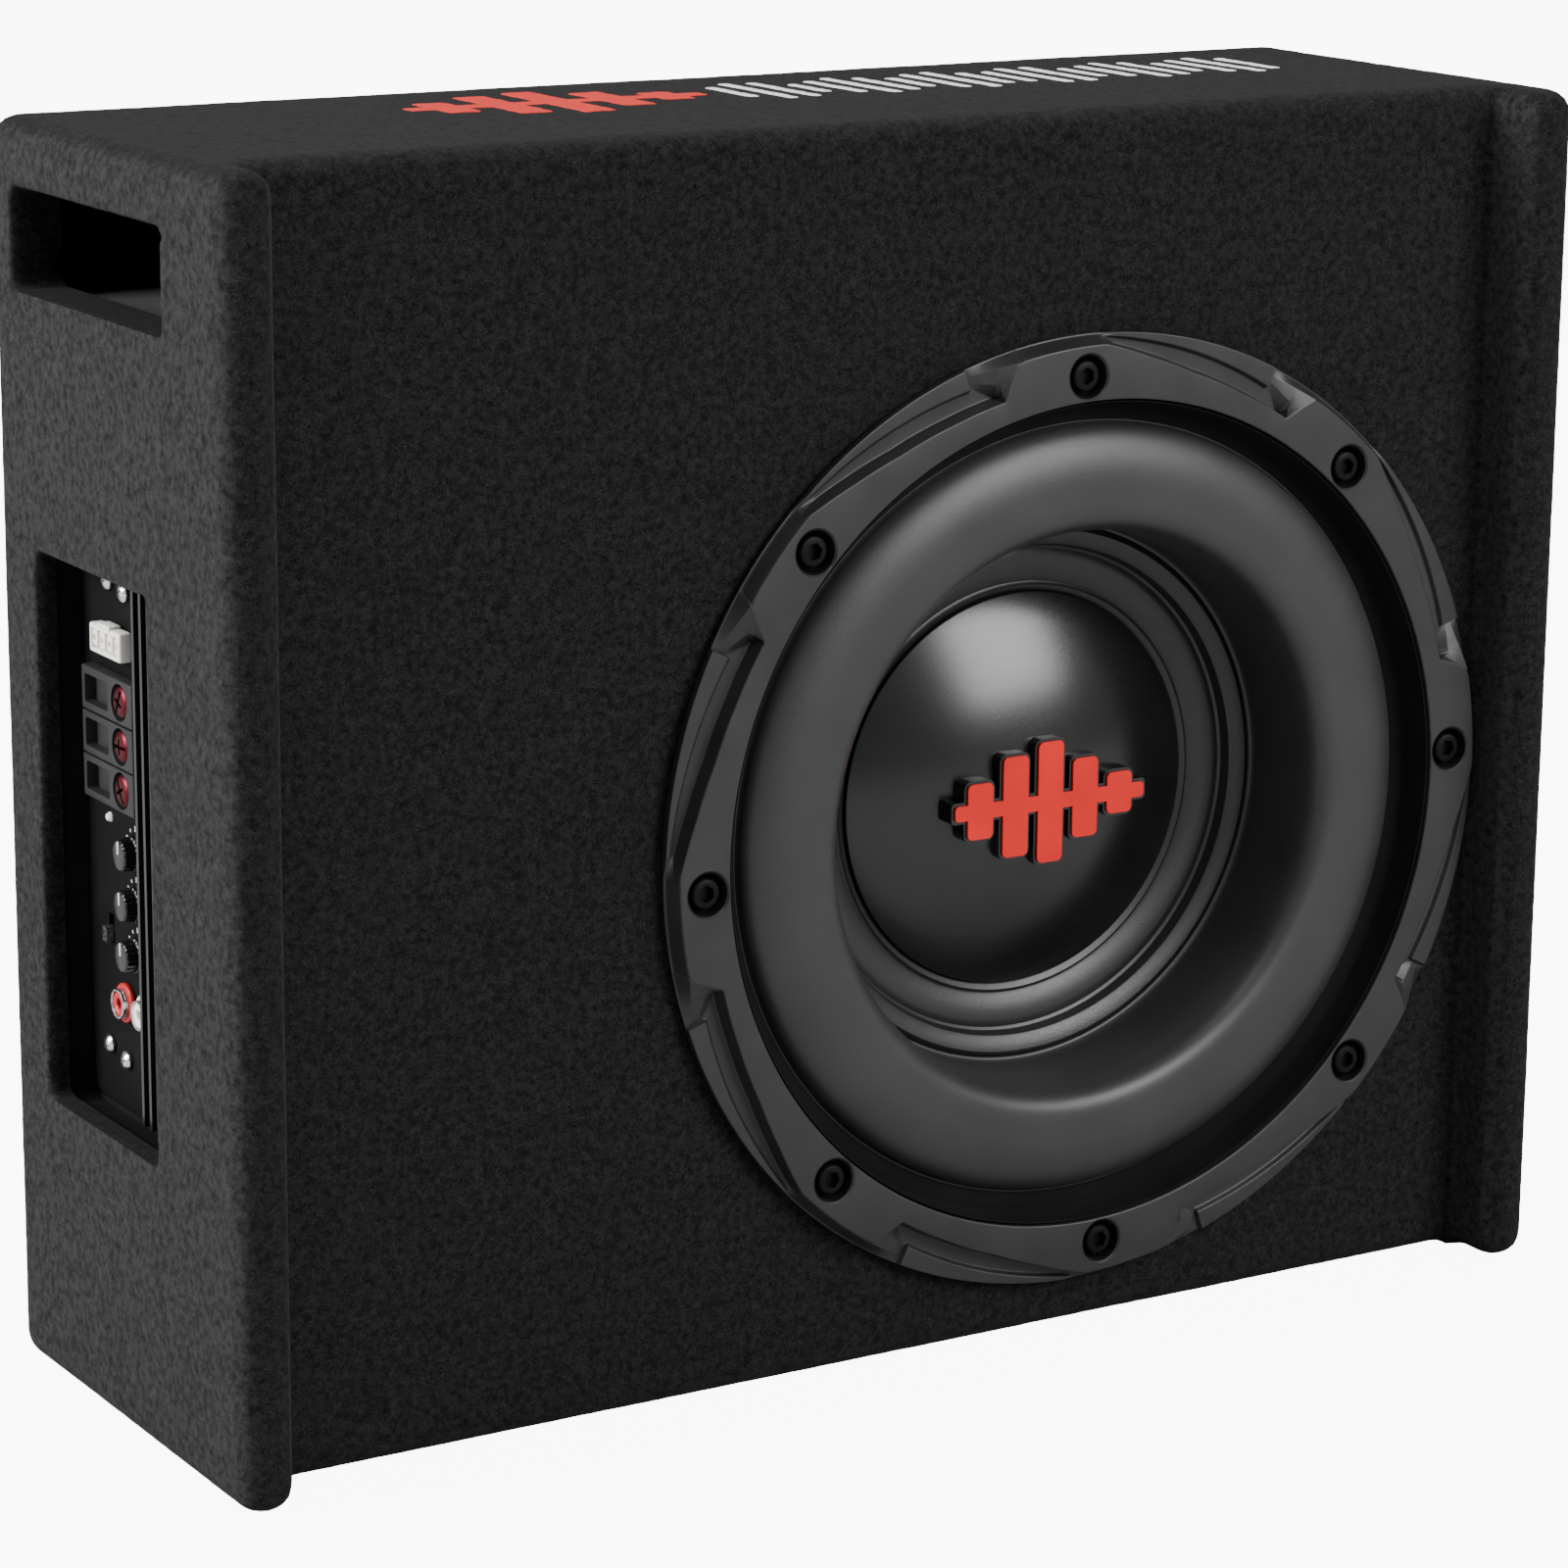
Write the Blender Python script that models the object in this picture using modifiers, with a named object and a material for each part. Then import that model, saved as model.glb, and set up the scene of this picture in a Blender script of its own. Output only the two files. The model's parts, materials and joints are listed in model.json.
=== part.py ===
"""Powered car subwoofer: carpeted slot-ported box, ten-inch driver and built-in amplifier.

The box stands on its bottom face with its centre over the origin. +X is the
object's right seen from the front, the driver faces -Y and +Z is up. All sizes
are in metres. The left side panel carries the port mouth and the amplifier.
"""
import bpy
import bmesh
from math import cos, pi, radians, sin
from mathutils import Matrix, Vector

# Box
WIDTH = 0.422
HEIGHT = 0.348
DEPTH = 0.149
BOARD = 0.012
CARPET = 0.002
SKIN = BOARD + CARPET
CHEEK = BOARD + 2 * CARPET
RECESS = 0.019
EDGE_RADIUS = 0.007
GAP = 0.0003
PAST = 0.010

# Planes worked out from the box
X_LEFT = -WIDTH / 2
X_INNER = WIDTH / 2 - SKIN
X_CHEEK = WIDTH / 2 - CHEEK
Y_FRONT = -DEPTH / 2
Y_BACK = DEPTH / 2
Y_BAFFLE = Y_FRONT + RECESS
Y_BAFFLE_REAR = Y_BAFFLE + SKIN
Y_BACK_INNER = Y_BACK - SKIN

# Slot port under the top panel
PORT_Y = (-0.037, 0.0585)
PORT_Z = (0.303, 0.330)
SHELF_Z = (0.288, 0.300)
SHELF_LENGTH = 0.300

# Amplifier bay in the left side panel
BAY_Y = (-0.023, 0.048)
BAY_Z = (0.082, 0.234)

# Driver, in its own frame: +Z towards the listener, height 0 on the baffle
DRIVER_X = 0.0575
DRIVER_Z = 0.1515
CUTOUT_RADIUS = 0.1203
FLANGE_RADIUS = 0.136
FLANGE_INNER = 0.1175
FLANGE_TOP = 0.0075
FLANGE_BOTTOM = 0.0016
POCKET_FLOOR = 0.0026
BLADE_TOP = 0.0038
BLADE_WIDTH = 0.0056
BLADE_TIP = 0.64
# Edge of the raised part of the flange, as (share of the way to the next bolt, radius)
RAISED_EDGE = ((0.0, 0.1335), (0.06, 0.1335), (0.21, 0.1296), (0.36, 0.1268), (0.54, 0.1252),
               (0.72, 0.1243), (0.778, 0.1330))
BOLT_RADIUS = 0.125
BOLT_COUNT = 8
BOLT_PHASE = radians(92.5)
BOLT_WELL = 0.0062
BOLT_HOLE = 0.0027
WELL_FLOOR = 0.0026
FLANGE_INSET = 0.0004
LANDING = -0.0050
SPIDER_SEAT = -0.0460
MOTOR_FACE = -0.0585
FRAME_WINDOW = (0.047, 0.068, 0.031)
FRAME_WINDOW_AT = (0.1015, 0.0, -0.0265)
FRAME_WINDOWS = 6
GASKET_SPAN = (0.1200, 0.133)
GASKET_TOP = 0.0013
SCREW_HEAD = 0.0044
SCREW_HEAD_HIGH = 0.0032
SCREW_SHAFT = 0.0021
SCREW_SOCKET = 0.0022
CONE_RIM = 0.080
CAP_RADIUS = 0.057
CAP_EDGE = -0.0327
CAP_RISE = 0.0150
CAP_WALL = 0.0010
COIL_RADIUS = 0.025
BADGE_RULE = (0.032, 0.0022)
BADGE_FOOT = -0.030
BADGE_BARS = (0.008, 0.0145, 0.0175, 0.0115, 0.0060)
BADGE_PITCH = 0.0118
BADGE_BAR_HALF = 0.0042

# Turned outlines of the driver, as (radius, height)
POT_OUTSIDE = ((0.1195, LANDING - 0.0025), (0.1095, LANDING - 0.0025), (0.0945, SPIDER_SEAT - 0.0025),
               (0.0805, SPIDER_SEAT - 0.0025), (0.0645, MOTOR_FACE - 0.0022),
               (0.0340, MOTOR_FACE - 0.0022))
POT_INSIDE = ((0.0340, MOTOR_FACE), (0.0628, MOTOR_FACE), (0.0780, SPIDER_SEAT), (0.0918, SPIDER_SEAT),
              (0.1050, LANDING - 0.0035), (0.1050, LANDING), (FLANGE_INNER, LANDING))
ROLL_LIP = ((0.1168, -0.0035), (0.1105, -0.0035))
ROLL_CREST = (0.0935, 0.0045)
ROLL_OUTER = (0.0165, 0.0080)
ROLL_SHOULDER = ((0.0935, 0.0045), (0.0885, 0.0041), (0.0858, 0.0028), (0.0844, -0.0005))
CONE_LINE = ((0.0835, -0.0258), (0.0790, -0.0262), (0.0715, -0.0296), (0.0710, -0.0310),
             (0.0600, -0.0330), (0.0560, -0.0341), (COIL_RADIUS + 0.0008, -0.0390))
LEAD_PATH = ((0.0960, -0.0290), (0.0900, -0.0340), (0.0800, -0.0385), (0.0680, -0.0402),
             (0.0560, -0.0398), (0.0480, -0.0385))

# Amplifier
PLATE_FACE = -0.1974
PLATE_BACK = -0.1929
FLANGE_FACE = -0.1952
CASE_Y = (-0.028, 0.0600)
CASE_Z = (0.0760, 0.2400)
CASE_END = -0.112
CASE_WALL = 0.0015
KNOB_Y = 0.017
KNOB_Z = {"level_knob": 0.156, "crossover_knob": 0.142, "boost_knob": 0.128}
KNOB_RADIUS = 0.0050
SHAFT_RADIUS = 0.0030
RCA_Z = 0.1130
RCA_Y = {"right": 0.024, "left": 0.011}
SWITCH_AT = (0.034, 0.130)
SWITCH_TRAVEL = 0.003
LED_AT = (0.0335, 0.1625)
BLOCK_Y = (0.0075, 0.040)
BLOCK_Z = (0.168, 0.204)
CLAMP_Y = 0.0155
CLAMP_RADIUS = 0.0046
SOCKET_Y = (0.0150, 0.0345)
SOCKET_Z = (0.2085, 0.2165)
PLATE_SCREWS = ((0.0245, 0.0965), (0.0355, 0.0985), (0.0196, 0.2265), (0.0300, 0.2280))
SOCKET_HIGH = 0.0040
BLOCK_HIGH = 0.0042
CLAMP_DEPTH = 0.0030
LAMP_RADIUS = 0.0014
LAMP_HIGH = 0.0012
CONTROL_BLOCK = ((PLATE_BACK + GAP, PLATE_BACK + 0.010), (0.008, 0.040), (0.1225, 0.1620))
CIRCUIT_BOARD = ((-0.1900, -0.1160), (0.0500, 0.0516), (0.0820, 0.2340))
CAPACITOR_AT = (-0.135, 0.0497, 0.205)
TRANSFORMER_AT = (-0.140, 0.0440, 0.120)
WIRE_EXIT_AT = (0.020, 0.150)
CABLE_PATH = ((-0.1210, 0.020, 0.150), (-0.1080, 0.020, 0.150), (-0.0920, 0.015, 0.143),
              (-0.0760, -0.002, 0.124), (-0.0640, -0.018, 0.108), (-0.0480, -0.026, 0.0945))
FIN_COUNT = 5
FIN_PITCH = 0.0048
FIN_FIRST = 0.0020
FIN_THICK = 0.0014
FIN_TIP = -0.2035

# Sides of a full circle on large, middling and small round parts
FINE = 40
MEDIUM = 24
SMALL = 12

# Colour, roughness, metallic
FINISHES = {
    "carpet": ((0.012, 0.012, 0.013), 0.95, 0.0),
    "fibreboard": ((0.32, 0.22, 0.13), 0.85, 0.0),
    "cast_frame": ((0.035, 0.035, 0.037), 0.45, 0.6),
    "foam": ((0.010, 0.010, 0.010), 0.95, 0.0),
    "surround_rubber": ((0.022, 0.022, 0.023), 0.50, 0.0),
    "cone_pulp": ((0.020, 0.020, 0.021), 0.60, 0.0),
    "cap_plastic": ((0.015, 0.015, 0.016), 0.35, 0.0),
    "badge_red": ((0.70, 0.045, 0.035), 0.40, 0.0),
    "spider_cloth": ((0.45, 0.30, 0.10), 0.90, 0.0),
    "coil_former": ((0.55, 0.56, 0.58), 0.35, 0.9),
    "copper": ((0.72, 0.33, 0.16), 0.30, 1.0),
    "motor_steel": ((0.10, 0.10, 0.11), 0.40, 0.9),
    "ferrite": ((0.035, 0.035, 0.038), 0.65, 0.0),
    "black_screw": ((0.030, 0.030, 0.032), 0.35, 0.8),
    "amp_black": ((0.012, 0.012, 0.013), 0.25, 0.3),
    "amp_alloy": ((0.60, 0.61, 0.63), 0.40, 0.9),
    "board_green": ((0.02, 0.16, 0.07), 0.55, 0.0),
    "terminal_grey": ((0.16, 0.16, 0.17), 0.50, 0.0),
    "clamp_copper": ((0.40, 0.09, 0.06), 0.35, 0.8),
    "socket_white": ((0.80, 0.79, 0.74), 0.45, 0.0),
    "plug_red": ((0.60, 0.03, 0.03), 0.40, 0.0),
    "bright_steel": ((0.70, 0.70, 0.72), 0.25, 1.0),
    "knob_grey": ((0.42, 0.42, 0.43), 0.45, 0.0),
    "lamp_clear": ((0.75, 0.76, 0.78), 0.20, 0.0),
    "cable_red": ((0.45, 0.02, 0.02), 0.50, 0.0),
    "cable_black": ((0.015, 0.015, 0.015), 0.50, 0.0),
    "capacitor_sleeve": ((0.03, 0.05, 0.16), 0.40, 0.0),
    "ferrite_core": ((0.12, 0.20, 0.12), 0.50, 0.0),
}


# ---------------------------------------------------------------- scene tools

def clear_scene():
    """Remove every object so that the model starts from nothing."""
    for item in list(bpy.data.objects):
        bpy.data.objects.remove(item, do_unlink=True)


def make_collection(name):
    group = bpy.data.collections.new(name)
    bpy.context.scene.collection.children.link(group)
    return group


def make_material(name):
    """Return the Principled material for one finish, made once."""
    if name in bpy.data.materials:
        return bpy.data.materials[name]
    colour, roughness, metallic = FINISHES[name]
    material = bpy.data.materials.new(name)
    material.use_nodes = True
    shader = material.node_tree.nodes["Principled BSDF"]
    shader.inputs["Base Color"].default_value = (*colour, 1.0)
    shader.inputs["Roughness"].default_value = roughness
    shader.inputs["Metallic"].default_value = metallic
    return material


def add_object(name, data, finish=None):
    """Put data in the scene: a part when it has a finish, otherwise a cutter."""
    item = bpy.data.objects.new(name, data)
    if finish:
        PARTS.objects.link(item)
        data.materials.append(make_material(finish))
        return item
    CUTTERS.objects.link(item)
    item.hide_render = True
    item.display_type = "WIRE"
    return item


def make_cutter(item):
    """Turn a part into a hidden cutter."""
    PARTS.objects.unlink(item)
    CUTTERS.objects.link(item)
    item.hide_render = True
    item.display_type = "WIRE"
    return item


def to_mesh(item):
    """Replace a curve object by a closed mesh object of the same name."""
    bpy.context.view_layer.update()
    graph = bpy.context.evaluated_depsgraph_get()
    mesh = bpy.data.meshes.new_from_object(item.evaluated_get(graph))
    form = bmesh.new()
    form.from_mesh(mesh)
    bmesh.ops.remove_doubles(form, verts=form.verts, dist=1e-6)
    form.to_mesh(mesh)
    form.free()
    name = item.name
    place = item.matrix_world.copy()
    groups = list(item.users_collection)
    bpy.data.objects.remove(item, do_unlink=True)
    solid = bpy.data.objects.new(name, mesh)
    for group in groups:
        group.objects.link(solid)
    solid.matrix_world = place
    if CUTTERS in groups:
        solid.hide_render = True
        solid.display_type = "WIRE"
    return solid


# --------------------------------------------------------------------- shapes

def span_box(name, x, y, z, finish=None, radius=0.0, segments=3, edges=None):
    """Box over three (low, high) spans, with its chosen edges rounded."""
    low = Vector((x[0], y[0], z[0]))
    high = Vector((x[1], y[1], z[1]))
    centre = (low + high) / 2
    size = high - low
    form = bmesh.new()
    bmesh.ops.create_cube(form, size=1.0)
    bmesh.ops.scale(form, vec=size, verts=form.verts)
    if radius:
        picked = [edge for edge in form.edges if edges is None or edges(edge)]
        bmesh.ops.bevel(form, geom=picked, offset=radius, segments=segments,
                        profile=0.5, affect="EDGES", clamp_overlap=True)
    mesh = bpy.data.meshes.new(name)
    form.to_mesh(mesh)
    form.free()
    item = add_object(name, mesh, finish)
    item.location = centre
    return item


def along(axis):
    """Return a test for the box edges that run along one axis."""
    def test(edge):
        direction = edge.verts[0].co - edge.verts[1].co
        return abs(direction[axis]) > max(abs(direction[other]) for other in range(3) if other != axis)
    return test


def cylinder(name, radius, bottom, top, finish=None, steps=SMALL, x=0.0, y=0.0, top_radius=None):
    """Cylinder or cone along local Z, from height bottom to height top."""
    form = bmesh.new()
    bmesh.ops.create_cone(form, cap_ends=True, segments=steps, radius1=radius,
                          radius2=radius if top_radius is None else top_radius,
                          depth=top - bottom)
    bmesh.ops.translate(form, vec=(x, y, (top + bottom) / 2), verts=form.verts)
    mesh = bpy.data.meshes.new(name)
    form.to_mesh(mesh)
    form.free()
    return add_object(name, mesh, finish)


def turned(name, profile, finish=None, steps=FINE, closed=True):
    """Turn an (radius, height) outline about local Z.

    The outline runs down its outer side. An open outline starts and ends on
    the axis.
    """
    mesh = bpy.data.meshes.new(name)
    points = [(radius, 0.0, height) for radius, height in profile]
    links = [(index, index + 1) for index in range(len(points) - 1)]
    if closed:
        links.append((len(points) - 1, 0))
    mesh.from_pydata(points, links, [])
    item = add_object(name, mesh, finish)
    screw = item.modifiers.new("turn", "SCREW")
    screw.axis = "Z"
    screw.angle = 2 * pi
    screw.steps = steps
    screw.render_steps = steps
    screw.use_merge_vertices = True
    screw.merge_threshold = 1e-6
    screw.use_smooth_shade = True
    return item


def flat_outlines(name, outlines, bottom, top, finish=None):
    """Extrude closed 2D outlines from one height to another, as a mesh."""
    curve = bpy.data.curves.new(name, "CURVE")
    curve.dimensions = "2D"
    curve.fill_mode = "BOTH"
    curve.extrude = (top - bottom) / 2
    for outline in outlines:
        spline = curve.splines.new("POLY")
        spline.points.add(len(outline) - 1)
        for point, (x, y) in zip(spline.points, outline):
            point.co = (x, y, 0.0, 1.0)
        spline.use_cyclic_u = True
    item = add_object(name, curve, finish)
    item.location.z = (top + bottom) / 2
    return to_mesh(item)


def wire(name, points, radius, finish):
    """Round cable through the given points."""
    curve = bpy.data.curves.new(name, "CURVE")
    curve.dimensions = "3D"
    curve.bevel_depth = radius
    curve.bevel_resolution = 2
    curve.use_fill_caps = True
    spline = curve.splines.new("POLY")
    spline.points.add(len(points) - 1)
    for point, place in zip(spline.points, points):
        point.co = (*place, 1.0)
    return to_mesh(add_object(name, curve, finish))


def combine(item, other, operation):
    """Add one exact Boolean modifier, whose tool becomes a hidden cutter."""
    if other.name in PARTS.objects:
        make_cutter(other)
    step = item.modifiers.new(operation.lower(), "BOOLEAN")
    step.operation = operation
    step.solver = "EXACT"
    step.object = other


def cut(item, *tools):
    for tool in tools:
        combine(item, tool, "DIFFERENCE")


def join(item, *tools):
    for tool in tools:
        combine(item, tool, "UNION")


def keep_inside(item, tool):
    combine(item, tool, "INTERSECT")


def bolt_angles():
    """Angles of the mounting bolts, clockwise from the top one."""
    return [BOLT_PHASE - index * 2 * pi / BOLT_COUNT for index in range(BOLT_COUNT)]


def polar(radius, angle):
    return (radius * cos(angle), radius * sin(angle))


def grown(span, amount):
    """Widen a (low, high) span by the same amount at both ends."""
    return (span[0] - amount, span[1] + amount)


# ------------------------------------------------------------------ enclosure

def side_spans(side):
    """Spans of one side board, left (-1) or right (+1)."""
    x = sorted((side * (WIDTH / 2 - CARPET), side * X_INNER))
    return x, (Y_FRONT + CARPET, Y_BACK - CARPET), (CARPET, HEIGHT - CARPET)


def window(name, y, z, grow=0.0):
    """Cutter through the left side for an opening, grown all round."""
    return span_box(name, (X_LEFT - PAST, -X_INNER + PAST), grown(y, grow), grown(z, grow),
                    radius=0.003 + grow, segments=2, edges=along(0))


def side_panel(name, side):
    """Fibreboard side panel with rounded outer edges."""
    x, y, z = side_spans(side)
    return span_box(name, x, y, z, "fibreboard", radius=EDGE_RADIUS - CARPET, segments=3)


def side_carpet(name, side):
    """Carpet wrapped round a side panel, out to the inside of its front lip."""
    outer_x = sorted((side * WIDTH / 2, side * X_CHEEK))
    cover = span_box(name, outer_x, (Y_FRONT, Y_BACK), (0.0, HEIGHT), "carpet",
                     radius=EDGE_RADIUS, segments=3, edges=cheek_edges(side))
    x, y, z = side_spans(side)
    void = span_box(f"{name}_void", grown(x, GAP), grown(y, GAP), grown(z, GAP),
                    radius=EDGE_RADIUS - CARPET, segments=3)
    joint_x = sorted((side * (X_INNER + GAP), side * (X_CHEEK - PAST)))
    joint = span_box(f"{name}_joint", joint_x,
                     (Y_BAFFLE + CARPET - GAP, Y_BACK - CARPET + GAP),
                     (CARPET - GAP, HEIGHT - CARPET + GAP), radius=EDGE_RADIUS - CARPET,
                     edges=along(0))
    return cover, void, joint


def cheek_edges(side):
    """Round the outer edges and the front edges, not the joint with the box."""
    def test(edge):
        first, second = (vertex.co for vertex in edge.verts)
        on_inner_face = first.x * side < 0 and second.x * side < 0
        on_front = first.y < 0 and second.y < 0
        return on_front or not on_inner_face
    return test


def build_sides():
    """Both side panels and their carpets; the left ones carry the openings."""
    for name, side in (("left", -1), ("right", 1)):
        panel = side_panel(f"side_panel_{name}", side)
        cover, void, joint = side_carpet(f"carpet_{name}", side)
        if side < 0:
            cut(panel, window("port_in_board", PORT_Y, PORT_Z, CARPET))
            cut(panel, window("bay_in_board", BAY_Y, BAY_Z, CARPET))
            cut(void, window("port_lining", PORT_Y, PORT_Z, CARPET - GAP))
            cut(void, window("bay_lining", BAY_Y, BAY_Z, CARPET - GAP))
        cut(cover, void, joint)
        if side < 0:
            cut(cover, window("port_mouth", PORT_Y, PORT_Z))
            cut(cover, window("bay_mouth", BAY_Y, BAY_Z))


def body_core(name, shrink):
    """Rounded block of the box between the sides, shrunk on its four faces."""
    return span_box(name, (-WIDTH, WIDTH), (Y_BAFFLE + shrink, Y_BACK - shrink),
                    (shrink, HEIGHT - shrink), radius=EDGE_RADIUS - shrink, edges=along(0))


def board(name, y, z, length=None):
    """Board between the side panels; length shortens it from the left end."""
    left = -X_INNER + GAP
    right = X_INNER - GAP if length is None else left + length
    return span_box(name, (left, right), y, z, "fibreboard")


def driver_hole(name, radius):
    """Cutter for the driver's hole through the baffle and its carpet."""
    hole = cylinder(name, radius, -SKIN - PAST, PAST, steps=FINE)
    return on_driver(hole)


def build_box():
    """Top, bottom, back and baffle boards, the port shelf and their carpet."""
    core = body_core("body_core", CARPET)
    y_full = (Y_BAFFLE, Y_BACK)
    z_between = (SKIN + GAP, HEIGHT - SKIN - GAP)
    keep_inside(board("top_panel", y_full, (HEIGHT - SKIN, HEIGHT)), core)
    keep_inside(board("bottom_panel", y_full, (0.0, SKIN)), core)
    board("back_panel", (Y_BACK_INNER, Y_BACK - CARPET), z_between)
    baffle = board("front_baffle", (Y_BAFFLE + CARPET, Y_BAFFLE_REAR), z_between)
    cut(baffle, driver_hole("baffle_hole", CUTOUT_RADIUS))
    board("port_shelf", (Y_BAFFLE_REAR + GAP, Y_BACK_INNER - GAP), SHELF_Z, SHELF_LENGTH)
    wrap = span_box("carpet_wrap", grown((-X_CHEEK, X_CHEEK), -GAP), y_full, (0.0, HEIGHT),
                    "carpet", radius=EDGE_RADIUS, edges=along(0))
    cut(wrap, body_core("wrap_void", CARPET - GAP))
    cut(wrap, driver_hole("wrap_hole", CUTOUT_RADIUS))
    for tool in bolt_shafts("bolt_clearance", BOLT_HOLE, -SKIN - PAST, PAST):
        cut(baffle, tool)
        cut(wrap, tool)


# --------------------------------------------------------------------- driver

def on_driver(item):
    """Place an item in the driver's frame, facing the listener."""
    item.parent = DRIVER
    return item


def bolt_shafts(name, radius, bottom, top, steps=8):
    """One cylinder at each bolt, in the driver's frame."""
    shafts = []
    for index, angle in enumerate(bolt_angles()):
        x, y = polar(BOLT_RADIUS, angle)
        shaft = cylinder(f"{name}_{index + 1}", radius, bottom, top, steps=steps, x=x, y=y)
        shafts.append(on_driver(shaft))
    return shafts


def raised_outline():
    """Outline of the flange's raised part, cut back to a saw tooth between the bolts."""
    outline = []
    for angle in bolt_angles():
        for turn, radius in RAISED_EDGE:
            outline.append(polar(radius, angle - turn * 2 * pi / BOLT_COUNT))
    return outline


def round_outline(radius, steps):
    """Plain circle as an outline."""
    return [polar(radius, BOLT_PHASE - step * 2 * pi / steps) for step in range(steps)]


def blade_outlines(rim):
    """Outer lips along the scoops, one in each, growing from a point to a square tip."""
    blades = []
    for angle in bolt_angles():
        outer = []
        inner = []
        for turn in (RAISED_EDGE[1][0] + 0.08, RAISED_EDGE[3][0], BLADE_TIP):
            direction = angle - turn * 2 * pi / BOLT_COUNT
            outer.append(polar(rim, direction))
            inner.append(polar(rim - BLADE_WIDTH * turn / BLADE_TIP, direction))
        blades.append(outer + inner[::-1])
    return blades


def frame_pot():
    """Turned pot of the frame: rim, landings for surround and spider, motor seat."""
    rim_top = FLANGE_TOP - 0.001
    outline = [(POT_OUTSIDE[0][0], rim_top), *POT_OUTSIDE, *POT_INSIDE, (FLANGE_INNER, rim_top)]
    return turned("driver_frame", outline, "cast_frame")


def frame_window(index):
    """Cutter for one of the windows between the pot's legs."""
    high = FRAME_WINDOW[2]
    opening = span_box(f"frame_window_{index + 1}", (0.0, FRAME_WINDOW[0]), (0.0, FRAME_WINDOW[1]),
                       (0.0, high), radius=0.008, segments=1, edges=along(0))
    opening.location = (0.0, 0.0, 0.0)
    opening.data.transform(Matrix.Translation(FRAME_WINDOW_AT))
    opening.rotation_euler.z = index * 2 * pi / FRAME_WINDOWS
    return on_driver(opening)


def build_frame():
    """Cast frame: pot, saw-tooth flange, blades, windows and bolt wells."""
    frame = on_driver(frame_pot())
    floor = flat_outlines("flange_floor", [round_outline(FLANGE_RADIUS, FINE)],
                          FLANGE_BOTTOM, POCKET_FLOOR)
    plate = flat_outlines("flange_plate", [raised_outline()], FLANGE_BOTTOM + FLANGE_INSET, FLANGE_TOP)
    blades = flat_outlines("flange_blades", blade_outlines(FLANGE_RADIUS - 2 * FLANGE_INSET),
                           FLANGE_BOTTOM + FLANGE_INSET / 2, BLADE_TOP)
    bore = cylinder("flange_bore", FLANGE_INNER + 0.001, 0.0, FLANGE_TOP + PAST, steps=FINE)
    for tool in (floor, plate, blades, bore):
        on_driver(tool)
    cut(floor, bore)
    cut(plate, bore)
    join(frame, floor, plate, blades)
    for index in range(FRAME_WINDOWS):
        cut(frame, frame_window(index))
    wells = bolt_shafts("bolt_well", BOLT_WELL, WELL_FLOOR, FLANGE_TOP + PAST, steps=SMALL)
    holes = bolt_shafts("bolt_hole", BOLT_HOLE, -PAST, FLANGE_TOP + PAST)
    cut(frame, *wells)
    cut(frame, *holes)


def build_gasket():
    """Foam ring between the flange and the carpeted baffle."""
    inner, outer = GASKET_SPAN
    outline = [(outer, GASKET_TOP), (outer, GAP), (inner, GAP), (inner, GASKET_TOP)]
    gasket = turned("driver_gasket", outline, "foam")
    on_driver(gasket)
    cut(gasket, *bolt_shafts("gasket_hole", BOLT_HOLE, -PAST, PAST))


def build_driver_screws():
    """Eight socket-head screws in the flange wells."""
    seat = WELL_FLOOR + GAP
    top = seat + SCREW_HEAD_HIGH
    for index, angle in enumerate(bolt_angles()):
        screw = turned(f"driver_screw_{index + 1}", [
            (0.0, top), (SCREW_HEAD - 0.0006, top), (SCREW_HEAD, top - 0.0006), (SCREW_HEAD, seat),
            (SCREW_SHAFT, seat), (SCREW_SHAFT, -SKIN + 0.002), (0.0, -SKIN)],
            "black_screw", steps=SMALL, closed=False)
        screw.location = (*polar(BOLT_RADIUS, angle), 0.0)
        on_driver(screw)
        socket = cylinder(f"socket_{index + 1}", SCREW_SOCKET, top - 0.0018, top + 0.001, steps=6)
        socket.location = screw.location
        cut(screw, on_driver(socket))


def thicken(line, thickness):
    """Closed outline of a sheet whose front face follows the line outwards in."""
    back = [(radius, height - thickness) for radius, height in line]
    return [line[0], *back, *reversed(line[1:])]


def roll_line():
    """Front face of the surround: outer lip, broad roll, steep inner wall and inner lip."""
    line = list(ROLL_LIP)
    for step in range(1, 4):
        angle = step * pi / 8
        line.append((ROLL_CREST[0] + ROLL_OUTER[0] * cos(angle),
                     ROLL_CREST[1] - ROLL_OUTER[1] * (1 - sin(angle))))
    line += ROLL_SHOULDER
    line.append((CONE_RIM + 0.0012, -0.0240))
    line.append((CONE_RIM - 0.0010, -0.0246))
    return line


def build_surround():
    """Rubber roll between the frame's landing and the cone's rim."""
    on_driver(turned("surround", thicken(roll_line(), 0.0012), "surround_rubber", steps=MEDIUM))


def build_cone():
    """Cone with one step between the surround and the dust cap."""
    on_driver(turned("cone", thicken(CONE_LINE, 0.0011), "cone_pulp", steps=MEDIUM))


def cap_line(radius, rise, edge, steps=5):
    """Arc of a spherical dome from its edge to its top, as (radius, height)."""
    ball = (radius * radius + rise * rise) / (2 * rise)
    points = []
    for step in range(steps + 1):
        reach = radius * cos(step / steps * pi / 2)
        points.append((reach, edge + (ball * ball - reach * reach) ** 0.5 - ball + rise))
    return points


def build_dust_cap():
    """Domed shell over the voice coil."""
    outer = cap_line(CAP_RADIUS, CAP_RISE, CAP_EDGE)
    inner = cap_line(CAP_RADIUS - CAP_WALL, CAP_RISE - CAP_WALL, CAP_EDGE)
    profile = list(reversed(outer)) + inner
    on_driver(turned("dust_cap", profile, "cap_plastic", steps=MEDIUM, closed=False))


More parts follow.
